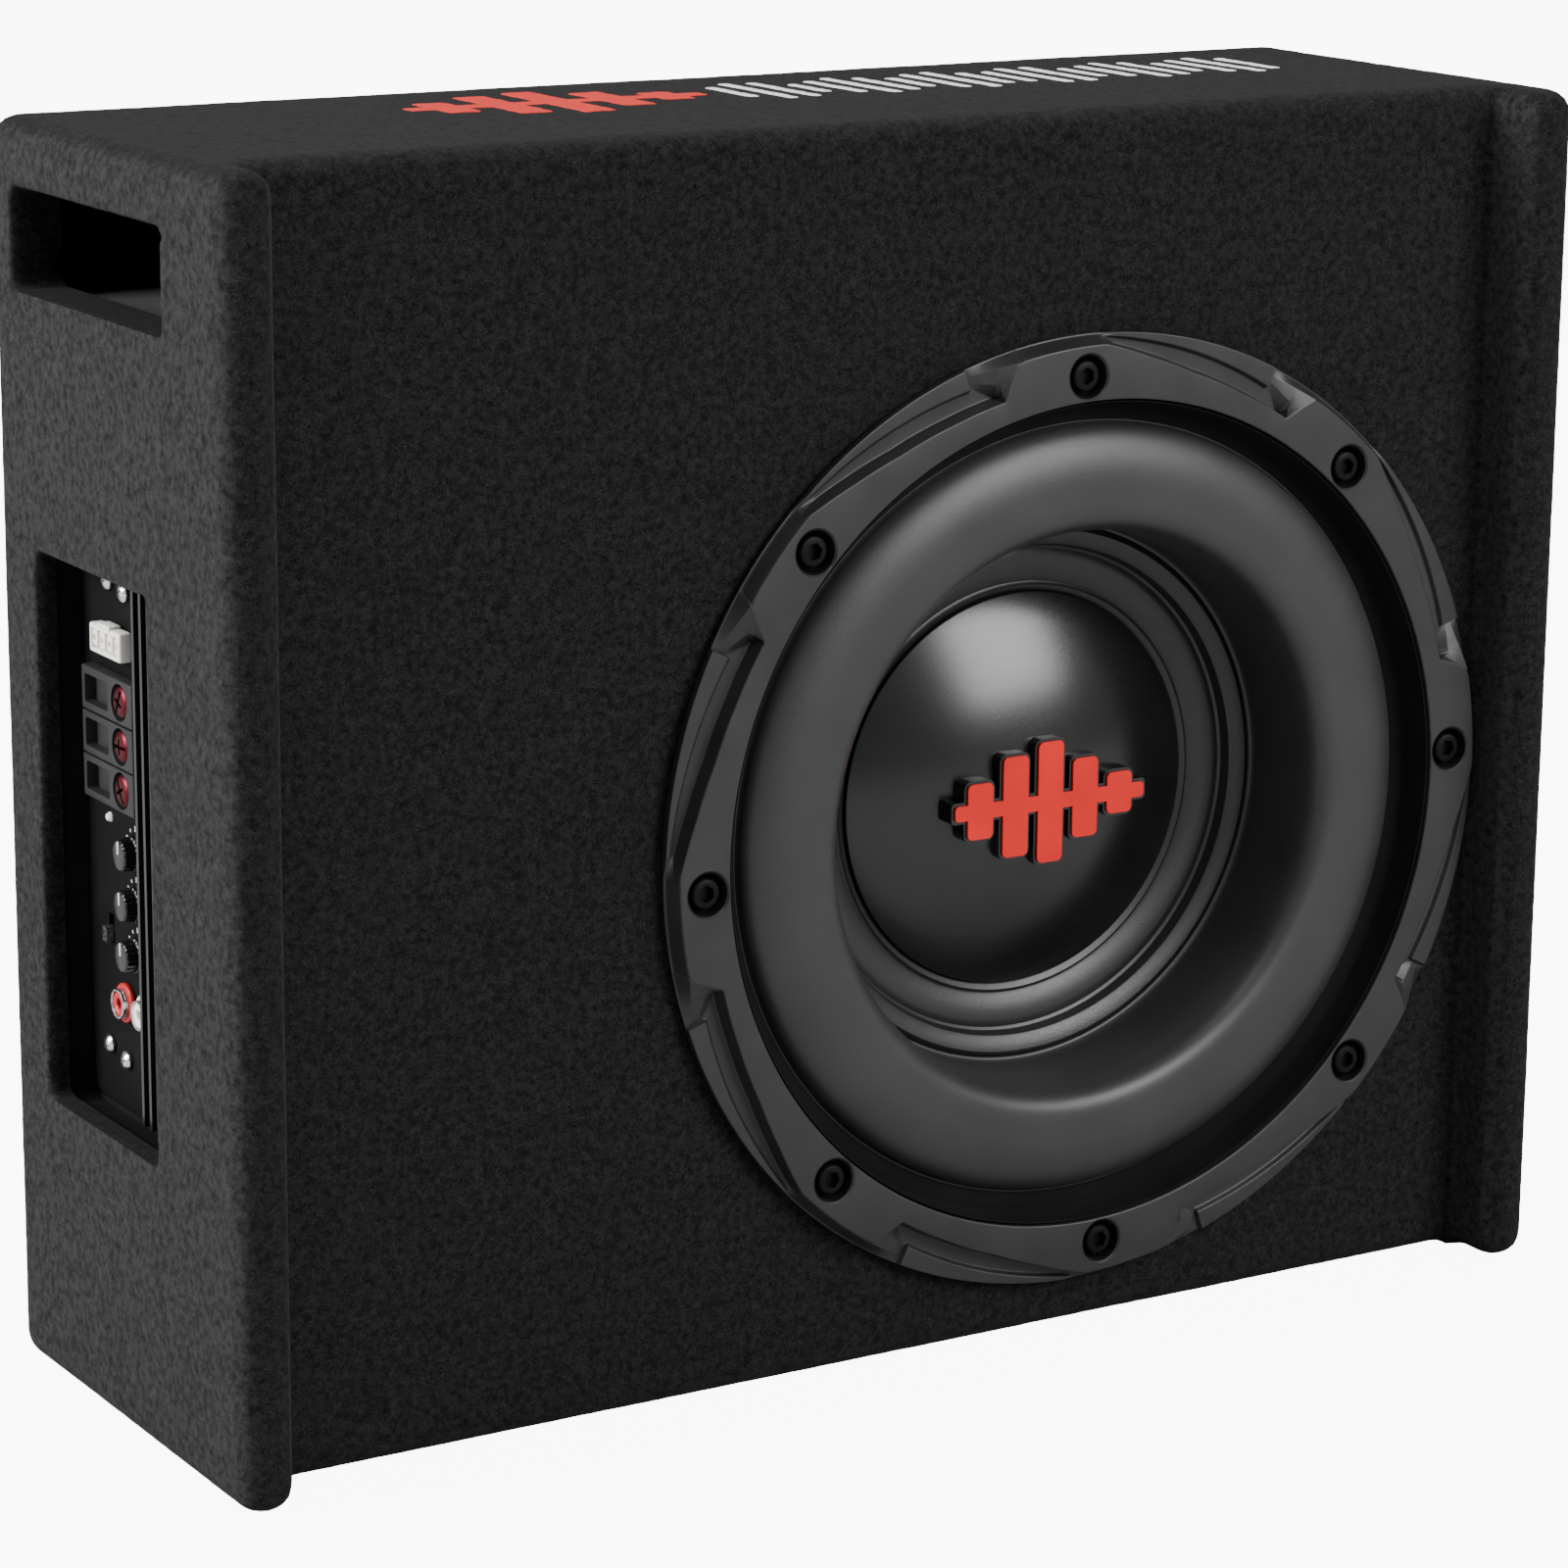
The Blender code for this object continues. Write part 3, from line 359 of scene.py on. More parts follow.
def on_panel(item, y, z):
    """Move a piece modelled along local Z onto the left side, pointing outwards."""
    item.data.transform(Matrix.Translation((0, y, z)) @ Matrix.Rotation(-pi / 2, 4, "Y"))
    item.data.update()
    return item


# ---- materials

class Nodes:
    """A material's node tree with short calls for the nodes used here."""

    def __init__(self, name):
        self.material = bpy.data.materials.new(name)
        self.material.use_nodes = True
        self.tree = self.material.node_tree
        self.shader = self.tree.nodes["Principled BSDF"]
        self.place = self.tree.nodes.new("ShaderNodeTexCoord").outputs["Object"]

    def set(self, **values):
        for key, value in values.items():
            label = key.replace("_", " ").title().replace("Ior", "IOR")
            self.shader.inputs[label].default_value = value

    def link(self, source, target):
        self.tree.links.new(source, target)

    def stretch(self, scale):
        node = self.tree.nodes.new("ShaderNodeMapping")
        node.inputs["Scale"].default_value = scale
        self.link(self.place, node.inputs["Vector"])
        return node.outputs["Vector"]

    def noise(self, scale, detail=2.0, roughness=0.5, vector=None, distortion=0.0):
        node = self.tree.nodes.new("ShaderNodeTexNoise")
        node.inputs["Scale"].default_value = scale
        node.inputs["Detail"].default_value = detail
        node.inputs["Roughness"].default_value = roughness
        node.inputs["Distortion"].default_value = distortion
        self.link(vector or self.place, node.inputs["Vector"])
        return node.outputs["Fac"]

    def ramp(self, source, *stops):
        node = self.tree.nodes.new("ShaderNodeValToRGB")
        points = node.color_ramp.elements
        while len(points) < len(stops):
            points.new(0.5)
        for point, (place, colour) in zip(points, stops):
            point.position = place
            point.color = (*colour, 1.0)
        self.link(source, node.inputs["Fac"])
        return node.outputs["Color"]

    def math(self, operation, first, second):
        node = self.tree.nodes.new("ShaderNodeMath")
        node.operation = operation
        for socket, value in zip(node.inputs, (first, second)):
            if isinstance(value, (int, float)):
                socket.default_value = value
            else:
                self.link(value, socket)
        return node.outputs["Value"]

    def mix(self, share, first, second):
        node = self.tree.nodes.new("ShaderNodeMix")
        node.data_type = "RGBA"
        ends = (node.inputs[0], node.inputs[6], node.inputs[7])
        for socket, value in zip(ends, (share, first, second)):
            if isinstance(value, (int, float, tuple)):
                socket.default_value = (*value, 1.0) if isinstance(value, tuple) else value
            else:
                self.link(value, socket)
        return node.outputs[2]

    def bump(self, height, distance, strength):
        node = self.tree.nodes.new("ShaderNodeBump")
        node.inputs["Distance"].default_value = distance
        node.inputs["Strength"].default_value = strength
        self.link(height, node.inputs["Height"])
        return node.outputs["Normal"]

    def painted_side_light(self):
        """Mask for painted light: 1 on faces that look left or right, 0 on the others."""
        face = self.tree.nodes.new("ShaderNodeNewGeometry")
        parts = self.tree.nodes.new("ShaderNodeSeparateXYZ")
        self.link(face.outputs["Normal"], parts.inputs["Vector"])
        return self.ramp(self.math("ABSOLUTE", parts.outputs["X"], 0.0), (0.6, (0, 0, 0)), (0.9, (1, 1, 1)))

    def colour(self, source):
        self.link(source, self.shader.inputs["Base Color"])

    def roughness(self, source):
        self.link(source, self.shader.inputs["Roughness"])

    def normal(self, source):
        self.link(source, self.shader.inputs["Normal"])


def carpet_material(name, dark, light, sheen):
    """Needle felt: matted fibres, paler tufts among dark ones, coarser on the side panels, where a lighter
    colour is painted light.
    """
    made = Nodes(name)
    made.set(roughness=0.95, sheen_weight=sheen, sheen_roughness=0.5, specular_ior_level=0.12)
    strands = made.noise(1.0, detail=1.0, roughness=0.6, vector=made.stretch((1700, 2900, 2300)),
                         distortion=1.6)
    tufts = made.noise(430, detail=3.0, roughness=0.72)
    speckle = made.math("MULTIPLY", strands, tufts)
    # faces that look left or right take a lighter colour: painted light on the side panels
    made.colour(made.mix(made.painted_side_light(), made.ramp(speckle, (0.16, dark), (0.40, light)),
                         made.ramp(tufts, (0.28, dark), (0.72, tuple(1.9 * value for value in light)))))
    made.normal(made.bump(speckle, 0.9 * MM, 1.0))
    return made.material


def coated_metal(name, base, roughness, grain, depth, specular=0.4):
    """Powder-coated metal with fine orange peel and slightly uneven gloss."""
    made = Nodes(name)
    made.set(metallic=0.0, specular_ior_level=specular)
    peel = made.noise(grain, detail=2.0, roughness=0.6)
    cloud = made.noise(60, detail=3.0)
    edge = tuple(value * 1.35 for value in base)
    made.colour(made.mix(made.ramp(cloud, (0.35, (0, 0, 0)), (0.7, (1, 1, 1))), base, edge))
    low, high = roughness
    made.roughness(made.ramp(cloud, (0.3, (low,) * 3), (0.75, (high,) * 3)))
    made.normal(made.bump(peel, depth, 0.6))
    return made.material


def moulded(name, base, roughness, grain=2200, depth=0.05 * MM, specular=0.5):
    """Moulded plastic or rubber with a fine mould grain and a faint mottle."""
    made = Nodes(name)
    made.set(specular_ior_level=specular)
    pits = made.noise(grain, detail=3.0, roughness=0.65)
    cloud = made.noise(45, detail=2.0)
    paler = tuple(value * 1.25 + 0.001 for value in base)
    made.colour(made.mix(made.ramp(cloud, (0.3, (0, 0, 0)), (0.75, (1, 1, 1))), base, paler))
    low, high = roughness
    made.roughness(made.ramp(pits, (0.3, (low,) * 3), (0.7, (high,) * 3)))
    made.normal(made.bump(pits, depth, 0.5))
    return made.material


def bare_metal(name, base, roughness, stretch=(300, 300, 4000)):
    """Metal with faint drawn lines."""
    made = Nodes(name)
    made.set(metallic=1.0)
    lines = made.noise(1.0, detail=2.0, vector=made.stretch(stretch))
    darker = tuple(value * 0.8 for value in base)
    made.colour(made.mix(lines, darker, base))
    low, high = roughness
    made.roughness(made.ramp(lines, (0.3, (low,) * 3), (0.7, (high,) * 3)))
    made.normal(made.bump(lines, 0.02 * MM, 0.4))
    return made.material


def print_material(name, ink):
    """Ink on felt, broken up by dark fibres that stand through it."""
    made = Nodes(name)
    made.set(roughness=0.9, specular_ior_level=0.2)
    strands = made.noise(1.0, detail=2.0, vector=made.stretch((900, 3600, 2400)), distortion=0.5)
    flecks = made.noise(2100, detail=2.0, roughness=0.6)
    worn = made.math("MULTIPLY", strands, flecks)
    shade = tuple(value * 0.75 for value in ink)
    ground = made.mix(made.ramp(flecks, (0.35, (0, 0, 0)), (0.65, (1, 1, 1))), shade, ink)
    made.colour(made.mix(made.ramp(worn, (0.10, (1, 1, 1)), (0.17, (0, 0, 0))), ground,
                         (0.02, 0.02, 0.02)))
    made.normal(made.bump(strands, 0.4 * MM, 0.8))
    return made.material


def fibreboard_material():
    """Pressed fibre board, pale brown with dark flecks."""
    made = Nodes("fibreboard_look")
    made.set(roughness=0.85)
    flecks = made.noise(1500, detail=4.0, roughness=0.7)
    made.colour(made.ramp(flecks, (0.35, (0.20, 0.13, 0.07)), (0.62, (0.42, 0.30, 0.18))))
    made.normal(made.bump(flecks, 0.1 * MM, 0.5))
    return made.material


def cloth_material():
    """Resin-dipped weave of the spider."""
    made = Nodes("spider_look")
    made.set(roughness=0.8)
    warp = made.noise(1.0, vector=made.stretch((3000, 600, 600)))
    weft = made.noise(1.0, vector=made.stretch((600, 600, 3000)))
    weave = made.math("MAXIMUM", warp, weft)
    made.colour(made.ramp(weave, (0.4, (0.25, 0.15, 0.04)), (0.7, (0.55, 0.38, 0.14))))
    made.normal(made.bump(weave, 0.2 * MM, 0.6))
    return made.material


MATERIALS = {
    "carpet": carpet_material("carpet_look", (0.0012, 0.0012, 0.00125), (0.0205, 0.0205, 0.021), 0.012),
    "fibreboard": fibreboard_material(),
    "cast_frame": coated_metal("frame_look", (0.0115, 0.0115, 0.012), (0.38, 0.50), 3200, 0.06 * MM),
    # the foam look also dresses the black sheets that paint shade on the flange's step and in its bolt wells
    "foam": moulded("foam_and_shade_look", (0.006,) * 3, (0.9, 1.0), 900, 0.3 * MM, 0.05),
    "surround_rubber": moulded("rubber_look", (0.018, 0.018, 0.0182), (0.34, 0.46), 2400,
                               0.12 * MM, 0.42),
    "cone_pulp": moulded("cone_look", (0.0045,) * 3, (0.34, 0.46), 1800, 0.12 * MM, 0.5),
    "cap_plastic": moulded("cap_look", (0.0028, 0.0028, 0.0029), (0.22, 0.28), 3000, 0.03 * MM, 0.55),
    "badge_red": moulded("badge_look", (0.52, 0.010, 0.008), (0.45, 0.55), 2600, 0.03 * MM, 0.2),
    "black_board": moulded("dark_board_look", (0.045,) * 3, (0.8, 0.95), 700, 0.3 * MM, 0.1),
    "spider_cloth": cloth_material(),
    "coil_former": bare_metal("former_look", (0.60, 0.61, 0.63), (0.30, 0.45)),
    "copper": bare_metal("copper_look", (0.72, 0.33, 0.16), (0.25, 0.35)),
    "motor_steel": coated_metal("motor_look", (0.03, 0.03, 0.032), (0.35, 0.5), 2500, 0.05 * MM),
    "ferrite": moulded("ferrite_look", (0.03, 0.03, 0.032), (0.6, 0.75), 1200, 0.2 * MM, 0.3),
    "black_screw": coated_metal("screw_look", (0.003,) * 3, (0.40, 0.50), 4000, 0.02 * MM, 0.10),
    "amp_black": coated_metal("amp_look", (0.0025, 0.0025, 0.0026), (0.6, 0.75), 3000, 0.03 * MM, 0.08),
    "fin_black": coated_metal("fin_look", (0.006, 0.006, 0.0062), (0.12, 0.2), 3000, 0.01 * MM),
    "amp_alloy": bare_metal("alloy_look", (0.60, 0.61, 0.63), (0.35, 0.5)),
    "board_green": moulded("board_look", (0.015, 0.12, 0.05), (0.35, 0.5)),
    "terminal_grey": moulded("terminal_look", (0.014, 0.014, 0.015), (0.45, 0.58), specular=0.25),
    "clamp_copper": bare_metal("clamp_look", (0.10, 0.012, 0.018), (0.34, 0.46)),
    "socket_white": moulded("nylon_look", (0.72, 0.70, 0.64), (0.38, 0.5)),
    "plug_red": moulded("plug_look", (0.34, 0.010, 0.010), (0.3, 0.42)),
    "bright_steel": bare_metal("steel_look", (0.72, 0.72, 0.74), (0.18, 0.3)),
    "knob_grey": moulded("knob_look", (0.004, 0.004, 0.0042), (0.16, 0.24)),
    "lamp_clear": moulded("lamp_look", (0.70, 0.71, 0.73), (0.12, 0.2), depth=0.0),
    "cable_red": moulded("cable_red_look", (0.40, 0.015, 0.015), (0.4, 0.5)),
    "cable_black": moulded("cable_black_look", (0.012,) * 3, (0.4, 0.5)),
    "capacitor_sleeve": moulded("sleeve_look", (0.02, 0.03, 0.12), (0.3, 0.4)),
    "print_red": print_material("red_print_look", (0.62, 0.030, 0.022)),
    "print_white": print_material("white_print_look", (0.80,) * 3),
    "ferrite_core": moulded("core_look", (0.10, 0.17, 0.10), (0.4, 0.55)),
}


def dress_cad_nodes():
    """Give every CAD node the procedural material of its slot, and soft edges."""
    slots = {entry["node"]: entry["material_slot"] for entry in frame["record"]["subparts"]}
    for name, item in frame["nodes"].items():
        item.data.materials.clear()
        item.data.materials.append(MATERIALS[SPECIAL_LOOKS.get(name, slots[name])])
        edge = item.modifiers.new("soft_edges", "BEVEL")
        edge.width = 0.15 * MM
        edge.segments = 2
        edge.limit_method = "ANGLE"
        edge.angle_limit = radians(40)


# ---- carpet

def cabinet_solid():
    """Outer form of the carpeted cabinet with its three openings as pockets."""
    low, high = CAD_LOW, CAD_HIGH
    solid = block("carpet_cover", (low.x + EDGE_RADIUS, BAFFLE_Y, 0.0),
                  (high.x - EDGE_RADIUS, high.y, high.z), EDGE_RADIUS, edges=runs_along(0))
    for side in (-1, 1):
        outer = side * high.x
        inner = -side * CHEEK_INNER
        span = sorted((outer, inner))
        rear = block("rear", (span[0], BAFFLE_Y - 0.5 * MM, 0.0), (span[1], high.y, high.z),
                     EDGE_RADIUS, edges=outer_edges(side))
        lip = block("lip", (span[0], low.y, 0.0), (span[1], BAFFLE_Y + 12 * MM, high.z),
                    EDGE_RADIUS, edges=not_rear)
        boolean(solid, rear, "UNION")
        boolean(solid, lip, "UNION")
    return solid


def outer_edges(side):
    """The edges of a side block that lie on its outer face, except the front one."""
    def test(edge):
        first, second = (vertex.co for vertex in edge.verts)
        outside = first.x * side > 0 or second.x * side > 0
        return outside and not (first.y < 0 and second.y < 0)
    return test


def not_rear(edge):
    first, second = (vertex.co for vertex in edge.verts)
    return not (first.y > 0 and second.y > 0)


def build_carpet():
    """Felt skin over the whole cabinet, turned into its openings."""
    solid = cabinet_solid()
    hole = prism("hole", CUTOUT_RADIUS, -30 * MM, 10 * MM, 96)
    on_driver(hole)
    boolean(solid, hole)
    for (y_low, y_high), (z_low, z_high), _ in WINDOWS:
        pocket = block("pocket", (CAD_LOW.x - 5 * MM, y_low, z_low),
                       (CAD_LOW.x + 30 * MM, y_high, z_high), 1 * MM, edges=runs_along(0))
        boolean(solid, pocket)
    remesh = solid.modifiers.new("even_mesh", "REMESH")
    remesh.mode = "VOXEL"
    remesh.voxel_size = 1.7 * MM
    apply_modifiers(solid)
    drop_pocket_floors(solid)
    ruffle(solid)
    smooth(solid, 60)
    finish_piece(solid, "carpet", ROOT, "carpet_left", "carpet_right", "carpet_wrap")


def drop_pocket_floors(item):
    """Open the pockets behind the thickness of the boards."""
    mesh = item.data
    x, y, z = vectors(mesh.polygons, "center").T
    reach = np.hypot(x - AXIS_X, z - AXIS_Z)
    doomed = (reach < CUTOUT_RADIUS + 2 * MM) & (y > BAFFLE_Y + SKIN) & (y < BAFFLE_Y + 40 * MM)
    margin = 3 * MM
    for (y_low, y_high), (z_low, z_high), turned_in in WINDOWS:
        behind = (x > CAD_LOW.x + turned_in) & (x < CAD_LOW.x + 40 * MM)
        doomed |= (behind & (y > y_low - margin) & (y < y_high + margin)
                   & (z > z_low - margin) & (z < z_high + margin))
    form = bmesh.new()
    form.from_mesh(mesh)
    form.faces.ensure_lookup_table()
    bmesh.ops.delete(form, geom=[form.faces[index] for index in np.flatnonzero(doomed)], context="FACES")
    form.to_mesh(mesh)
    form.free()


def felt_rise(spot):
    """How far the felt stands off its board at a place."""
    return FELT_RISE * (1.2 * noise.noise(spot * 22.0) + 0.9 * noise.noise(spot * 260.0) - 1.2)


def ruffle(item):
    """Let the felt rise and sink a little, as glued carpet does."""
    spots = vectors(item.data.vertices, "co")
    normals = vectors(item.data.vertices, "normal")
    rise = np.array([felt_rise(Vector(spot)) for spot in spots.tolist()])
    place_vertices(item, spots + normals * rise[:, None])


# ---- driver

def bolt_angles():
    return [BOLT_PHASE - index * 2 * pi / BOLT_COUNT for index in range(BOLT_COUNT)]


def at_bolt(item, angle, spin=0.0):
    """Move a piece modelled on the local Z axis to one bolt of the flange."""
    spot = Matrix.Translation((BOLT_RADIUS * cos(angle), BOLT_RADIUS * sin(angle), 0))
    item.data.transform(spot @ Matrix.Rotation(spin, 4, "Z"))
    return item


def ease(value, low, high):
    """Smooth step from 0 at low to 1 at high."""
    share = min(1.0, max(0.0, (value - low) / (high - low)))
    return share * share * (3 - 2 * share)


def ramp_height(radius, turn):
    """Height of the facet that climbs from a scoop's floor to the next bolt's boss."""
    foot = np.interp(radius, (RAMP_INNER[1], RAMP_BLADE[1]), (RAMP_INNER[0], RAMP_BLADE[0]))
    top = RAMP_INNER[0] + (radius - RAMP_INNER[1]) * ((RAMP_OUTER[0] - RAMP_INNER[0])
                                                      / (RAMP_OUTER[1] - RAMP_INNER[1]))
    share = min(1.0, max(0.0, (turn - foot) / max(top - foot, 1e-4)))
    climbed = SCOOP_FLOOR + (FLANGE_TOP - SCOOP_FLOOR) * share
    boss = np.interp(radius, (BOSS_EDGE, BOSS_FOOT, FLANGE_RIM),
                     (FLANGE_TOP, SCOOP_FLOOR + 0.1 * MM, SCOOP_FLOOR))
    return min(climbed, boss)


def boss_points():
    """Sloping outer wall of the flange where it is uncut."""
    return mm((134.3, 5.6), (134.9, 4.2), (135.3, 3.2), (135.6, 2.7), (135.8, 2.65))


def scoop_points(turn, edge):
    """Scoop floor and blade, or the ramp that ends them, at one share of the way round."""
    if turn < BLADE_END:
        blade = FLANGE_RIM - 0.1 * MM - BLADE_WIDTH * turn / BLADE_END
        lean = min(0.9 * MM, 0.2 * (blade - edge))
        rest = (FLANGE_RIM - blade) / 3
        return [(edge + lean, SCOOP_FLOOR), (blade - lean, SCOOP_FLOOR), (blade, BLADE_TOP),
                (blade + rest, BLADE_TOP), (blade + 2 * rest, BLADE_TOP)]
    if turn < RAMP_INNER[0]:
        foot = np.interp(turn, (RAMP_BLADE[0], RAMP_INNER[0]), (RAMP_BLADE[1], RAMP_INNER[1]))
        foot = max(foot, edge + 1.0 * MM)
        middle = (foot + BOSS_EDGE) / 2
        radii = (foot, middle, BOSS_EDGE, BOSS_FOOT)
        return [(edge + 0.9 * MM, SCOOP_FLOOR)] + [(r, ramp_height(r, turn)) for r in radii]
    step = (BOSS_EDGE - edge) / 4
    radii = (edge + step, edge + 2 * step, edge + 3 * step, BOSS_EDGE, BOSS_FOOT)
    return [(r, ramp_height(r, turn)) for r in radii]


def flange_section(turn):
    """Rounded cross-section of the flange at one place between two bolts."""
    edge = np.interp(turn, RAISED_TURNS, RAISED_RADII)
    cut_in = ease(turn, 0.04, 0.11) * (1 - ease(turn, RAMP_OUTER[0], 0.81))
    scoop = np.array(scoop_points(turn, edge))
    outer = scoop * cut_in + boss_points() * (1 - cut_in)
    blade = BLADE_TOP if turn < BLADE_END else SCOOP_FLOOR
    rim_top = SCOOP_FLOOR + (blade - SCOOP_FLOOR) * cut_in
    corners = [(FLANGE_INNER, LANDING), (FLANGE_INNER, FLANGE_TOP), (edge, FLANGE_TOP),
               *outer.tolist(), (FLANGE_RIM, rim_top), (FLANGE_RIM, FLANGE_BOTTOM),
               (119.5 * MM, FLANGE_BOTTOM), (119.5 * MM, LANDING)]
    return round_corners(corners, mm(0.1, 0.6, 0.45, 0.4, 0.4, 0.3, 0.2, 0.2, 0.4, 0.3, 0.1, 0.1))


def build_flange():
    """Cast saw-tooth flange with a scoop between each pair of bolts, and its bolt wells."""
    turns = sorted({round(index / 44, 4) for index in range(44)}
                   | {round(0.02 + index * 0.01, 4) for index in range(10)}
                   | {round(BLADE_END + index * 0.005, 4) for index in range(-2, 36)})
    sections = []
    for angle in bolt_angles():
        for turn in turns:
            direction = angle - turn * 2 * pi / BOLT_COUNT
            radii, heights = np.array(flange_section(turn)).T
            sections.append(np.stack([radii * cos(direction), radii * sin(direction), heights], axis=-1))
    flange = loft_ring("frame_flange", np.array(sections))
    wells = []
    for angle in bolt_angles():
        well = turned("well", [
            (0, 30 * MM), (WELL_RADIUS + 1.2 * MM, 30 * MM),
            (WELL_RADIUS + 0.5 * MM, FLANGE_TOP + 0.01 * MM), (WELL_RADIUS, FLANGE_TOP - 0.5 * MM),
            (WELL_RADIUS, WELL_FLOOR), (0, WELL_FLOOR)], 48)
        wells.append(at_bolt(well, angle))
    boolean(flange, joined("wells", wells))
    on_driver(smooth(flange, 26))
    finish_piece(flange, "cast_frame", ROOT, "driver_frame")


def build_shadow_ring():
    """Black sheet of painted shade over the step between the flange's bore and the rubber roll, and up the
    bore's wall.
    """
    ring = turned("landing_shade_ring", mm(
        (110.9, -3.3), (111.6, -2.9), (116.4, -2.9), (117.0, -2.2), (117.1, 6.4), (117.45, 6.6),
        (117.45, -3.4), (110.9, -3.4)), 192)
    on_driver(smooth(ring, 40))
    finish_piece(ring, "foam", ROOT)


def build_well_shade():
    """Black sheets inside the casting's bolt wells, as painted shade in these recesses."""
    shade_sheet = turned("well_shade_sheet", mm(
        (2.7, 2.65), (2.7, 2.85), (5.9, 2.9), (5.95, 7.0), (6.15, 7.05), (6.19, 2.65)), 40)
    shade_sheets = [at_bolt(mesh_object("shade_sheet", shade_sheet.data.copy()), angle) for angle in bolt_angles()]
    bpy.data.objects.remove(shade_sheet, do_unlink=True)
    whole = joined("well_shade_sheets", shade_sheets)
    on_driver(smooth(whole, 40))
    finish_piece(whole, "cast_frame", ROOT, look="foam")


def build_basket():
    """Pot and spokes of the frame, behind the baffle."""
    basket = turned("frame_basket", mm(
        (119.4, -5.1), (119.4, -7.5), (109.5, -7.5), (94.5, -48.5), (80.5, -48.5), (64.5, -60.7),
        (34, -60.7), (34, -58.5), (62.8, -58.5), (78, -46), (91.8, -46), (105, -8.5), (105, -5.1)), 96)
    windows = []
    for index in range(6):
        opening = block("window", (78 * MM, -34 * MM, -43 * MM), (125 * MM, 34 * MM, -11 * MM), 8 * MM,
                        edges=runs_along(0))
        windows.append(spun(opening, index * pi / 3))
    boolean(basket, joined("windows", windows))
    on_driver(smooth(basket))
    finish_piece(basket, "cast_frame", ROOT)


def surround_line():
    """Front face of the rubber roll: outer lip, broad shoulder, steep inner wall and inner lip."""
    line = [(116.8, -3.5), (113.5, -3.5), (110.6, -3.45)]
    radius, height = ROLL_CREST
    angles = [pi / 2 * index / ROLL_STEPS for index in range(1, ROLL_STEPS + 1)]
    line += [(radius + 16.6 * cos(angle), -3.3 + (height + 3.3) * sin(angle)) for angle in angles]
    for share in map(sin, angles):
        wall = (1 - share ** ROLL_SQUARENESS) ** (1 / ROLL_SQUARENESS)
        line.append((radius - 14.4 * share, height - 27.5 * (1 - wall)))
    return mm(*line, (79.0, -25.2), (78.8, -26.2), (78.4, -26.8), (78.0, -27.0), (77.7, -27.0))


def build_surround():
    """Half roll of moulded rubber with its lips, between frame and cone."""
    roll = turned("surround_roll", shell_outline(surround_line()[::-1], -1.1 * MM)[::-1], 224)
    on_driver(smooth(roll, 50))
    bend_piece(roll, "surround_rubber",
               "surround")


def build_spider():
    """Corrugated cloth disc in sectors, each a closed wedge of the same corrugated section."""
    waves = np.linspace(*SPIDER_WAVES, 67)
    radii = np.concatenate([[90.5, 86.0, 80.0], waves, [31.0, 25.9]])
    share = np.clip((SPIDER_WAVES[0] - radii) / (SPIDER_WAVES[0] - SPIDER_WAVES[1]), 0, 1)
    heights = SPIDER_HEIGHT + 1.5 * np.sin(share * 9 * pi)
    outline = shell_outline(np.stack([radii, heights], axis=1) * MM, 0.7 * MM)
    rows = len(outline)
    faces = [(step * rows + index, (step + 1) * rows + index,
              (step + 1) * rows + (index + 1) % rows, step * rows + (index + 1) % rows)
             for step in range(SECTOR_STEPS) for index in range(rows)]
    for index in range(len(radii) - 1):
        cap = (index, index + 1, rows - 2 - index, rows - 1 - index)
        faces.append(cap)
        faces.append(tuple(SECTOR_STEPS * rows + corner for corner in reversed(cap)))
    for sector in range(SECTORS):
        heading = 2 * pi * sector / SECTORS
        spread = heading + np.linspace(-pi, pi, SECTOR_STEPS + 1) / SECTORS
        points = [(radius * cos(angle), radius * sin(angle), height)
                  for angle in spread for radius, height in outline]
        mesh = bpy.data.meshes.new(f"spider_{sector + 1}")
        mesh.from_pydata(points, [], faces)
        cloth = on_driver(smooth(mesh_object(f"spider_sector_{sector + 1}", mesh), 50))
        bend_piece(cloth, "spider_cloth", "spider")


def build_leads():
    """Two braided leads that run from the frame's terminal to the cone."""
    path = mm((96, -29), (90, -34), (80, -38.5), (68, -40.2), (56, -39.8), (48, -38.5))
    shares = np.linspace(0, len(path) - 1, 31)
    reach, height = (np.interp(shares, np.arange(len(path)), path[:, axis]) for axis in (0, 1))
    for name, side in (("tinsel_lead_positive", 1), ("tinsel_lead_negative", -1)):
        curve = bpy.data.curves.new(name, "CURVE")
        curve.dimensions = "3D"
        curve.bevel_depth = 0.7 * MM
        curve.use_fill_caps = True
        line = curve.splines.new("POLY")
        line.points.add(len(shares) - 1)
        for point, far, high in zip(line.points, reach, height):
            point.co = (far, side * 6 * MM, high, 1.0)
        core = mesh_object(f"{name}_core", curve)
        lead = mesh_object(f"{name}_braid", evaluated_mesh(core))
        bpy.data.objects.remove(core, do_unlink=True)
        on_driver(smooth(spun(lead, LEAD_HEADING)))
        bend_piece(lead, "copper", name)


def build_cone():
    """Stepped cone between the surround's lip and the voice coil."""
    line = mm((83.2, -28.2), (78.4, -28.1), (77.6, -27.5), (76.9, -26.8), (76.0, -26.4), (75.0, -26.6),
              (72.3, -27.6), (71.6, -28.1), (71.2, -29.2), (70.7, -31.0), (69.9, -31.5), (69.0, -31.2),
              (67.5, -31.0), (60.8, -33.0), (60.2, -33.5), (59.6, -33.3), (59.2, -32.9), (57.4, -33.9),
              (56.6, -34.3), (40.0, -37.0), (26.2, -39.3))
    cone = turned("cone_body", shell_outline(line[::-1], -0.9 * MM)[::-1], 192)
    on_driver(smooth(cone, 30))
    finish_piece(cone, "cone_pulp", CONE_BODY, "cone")


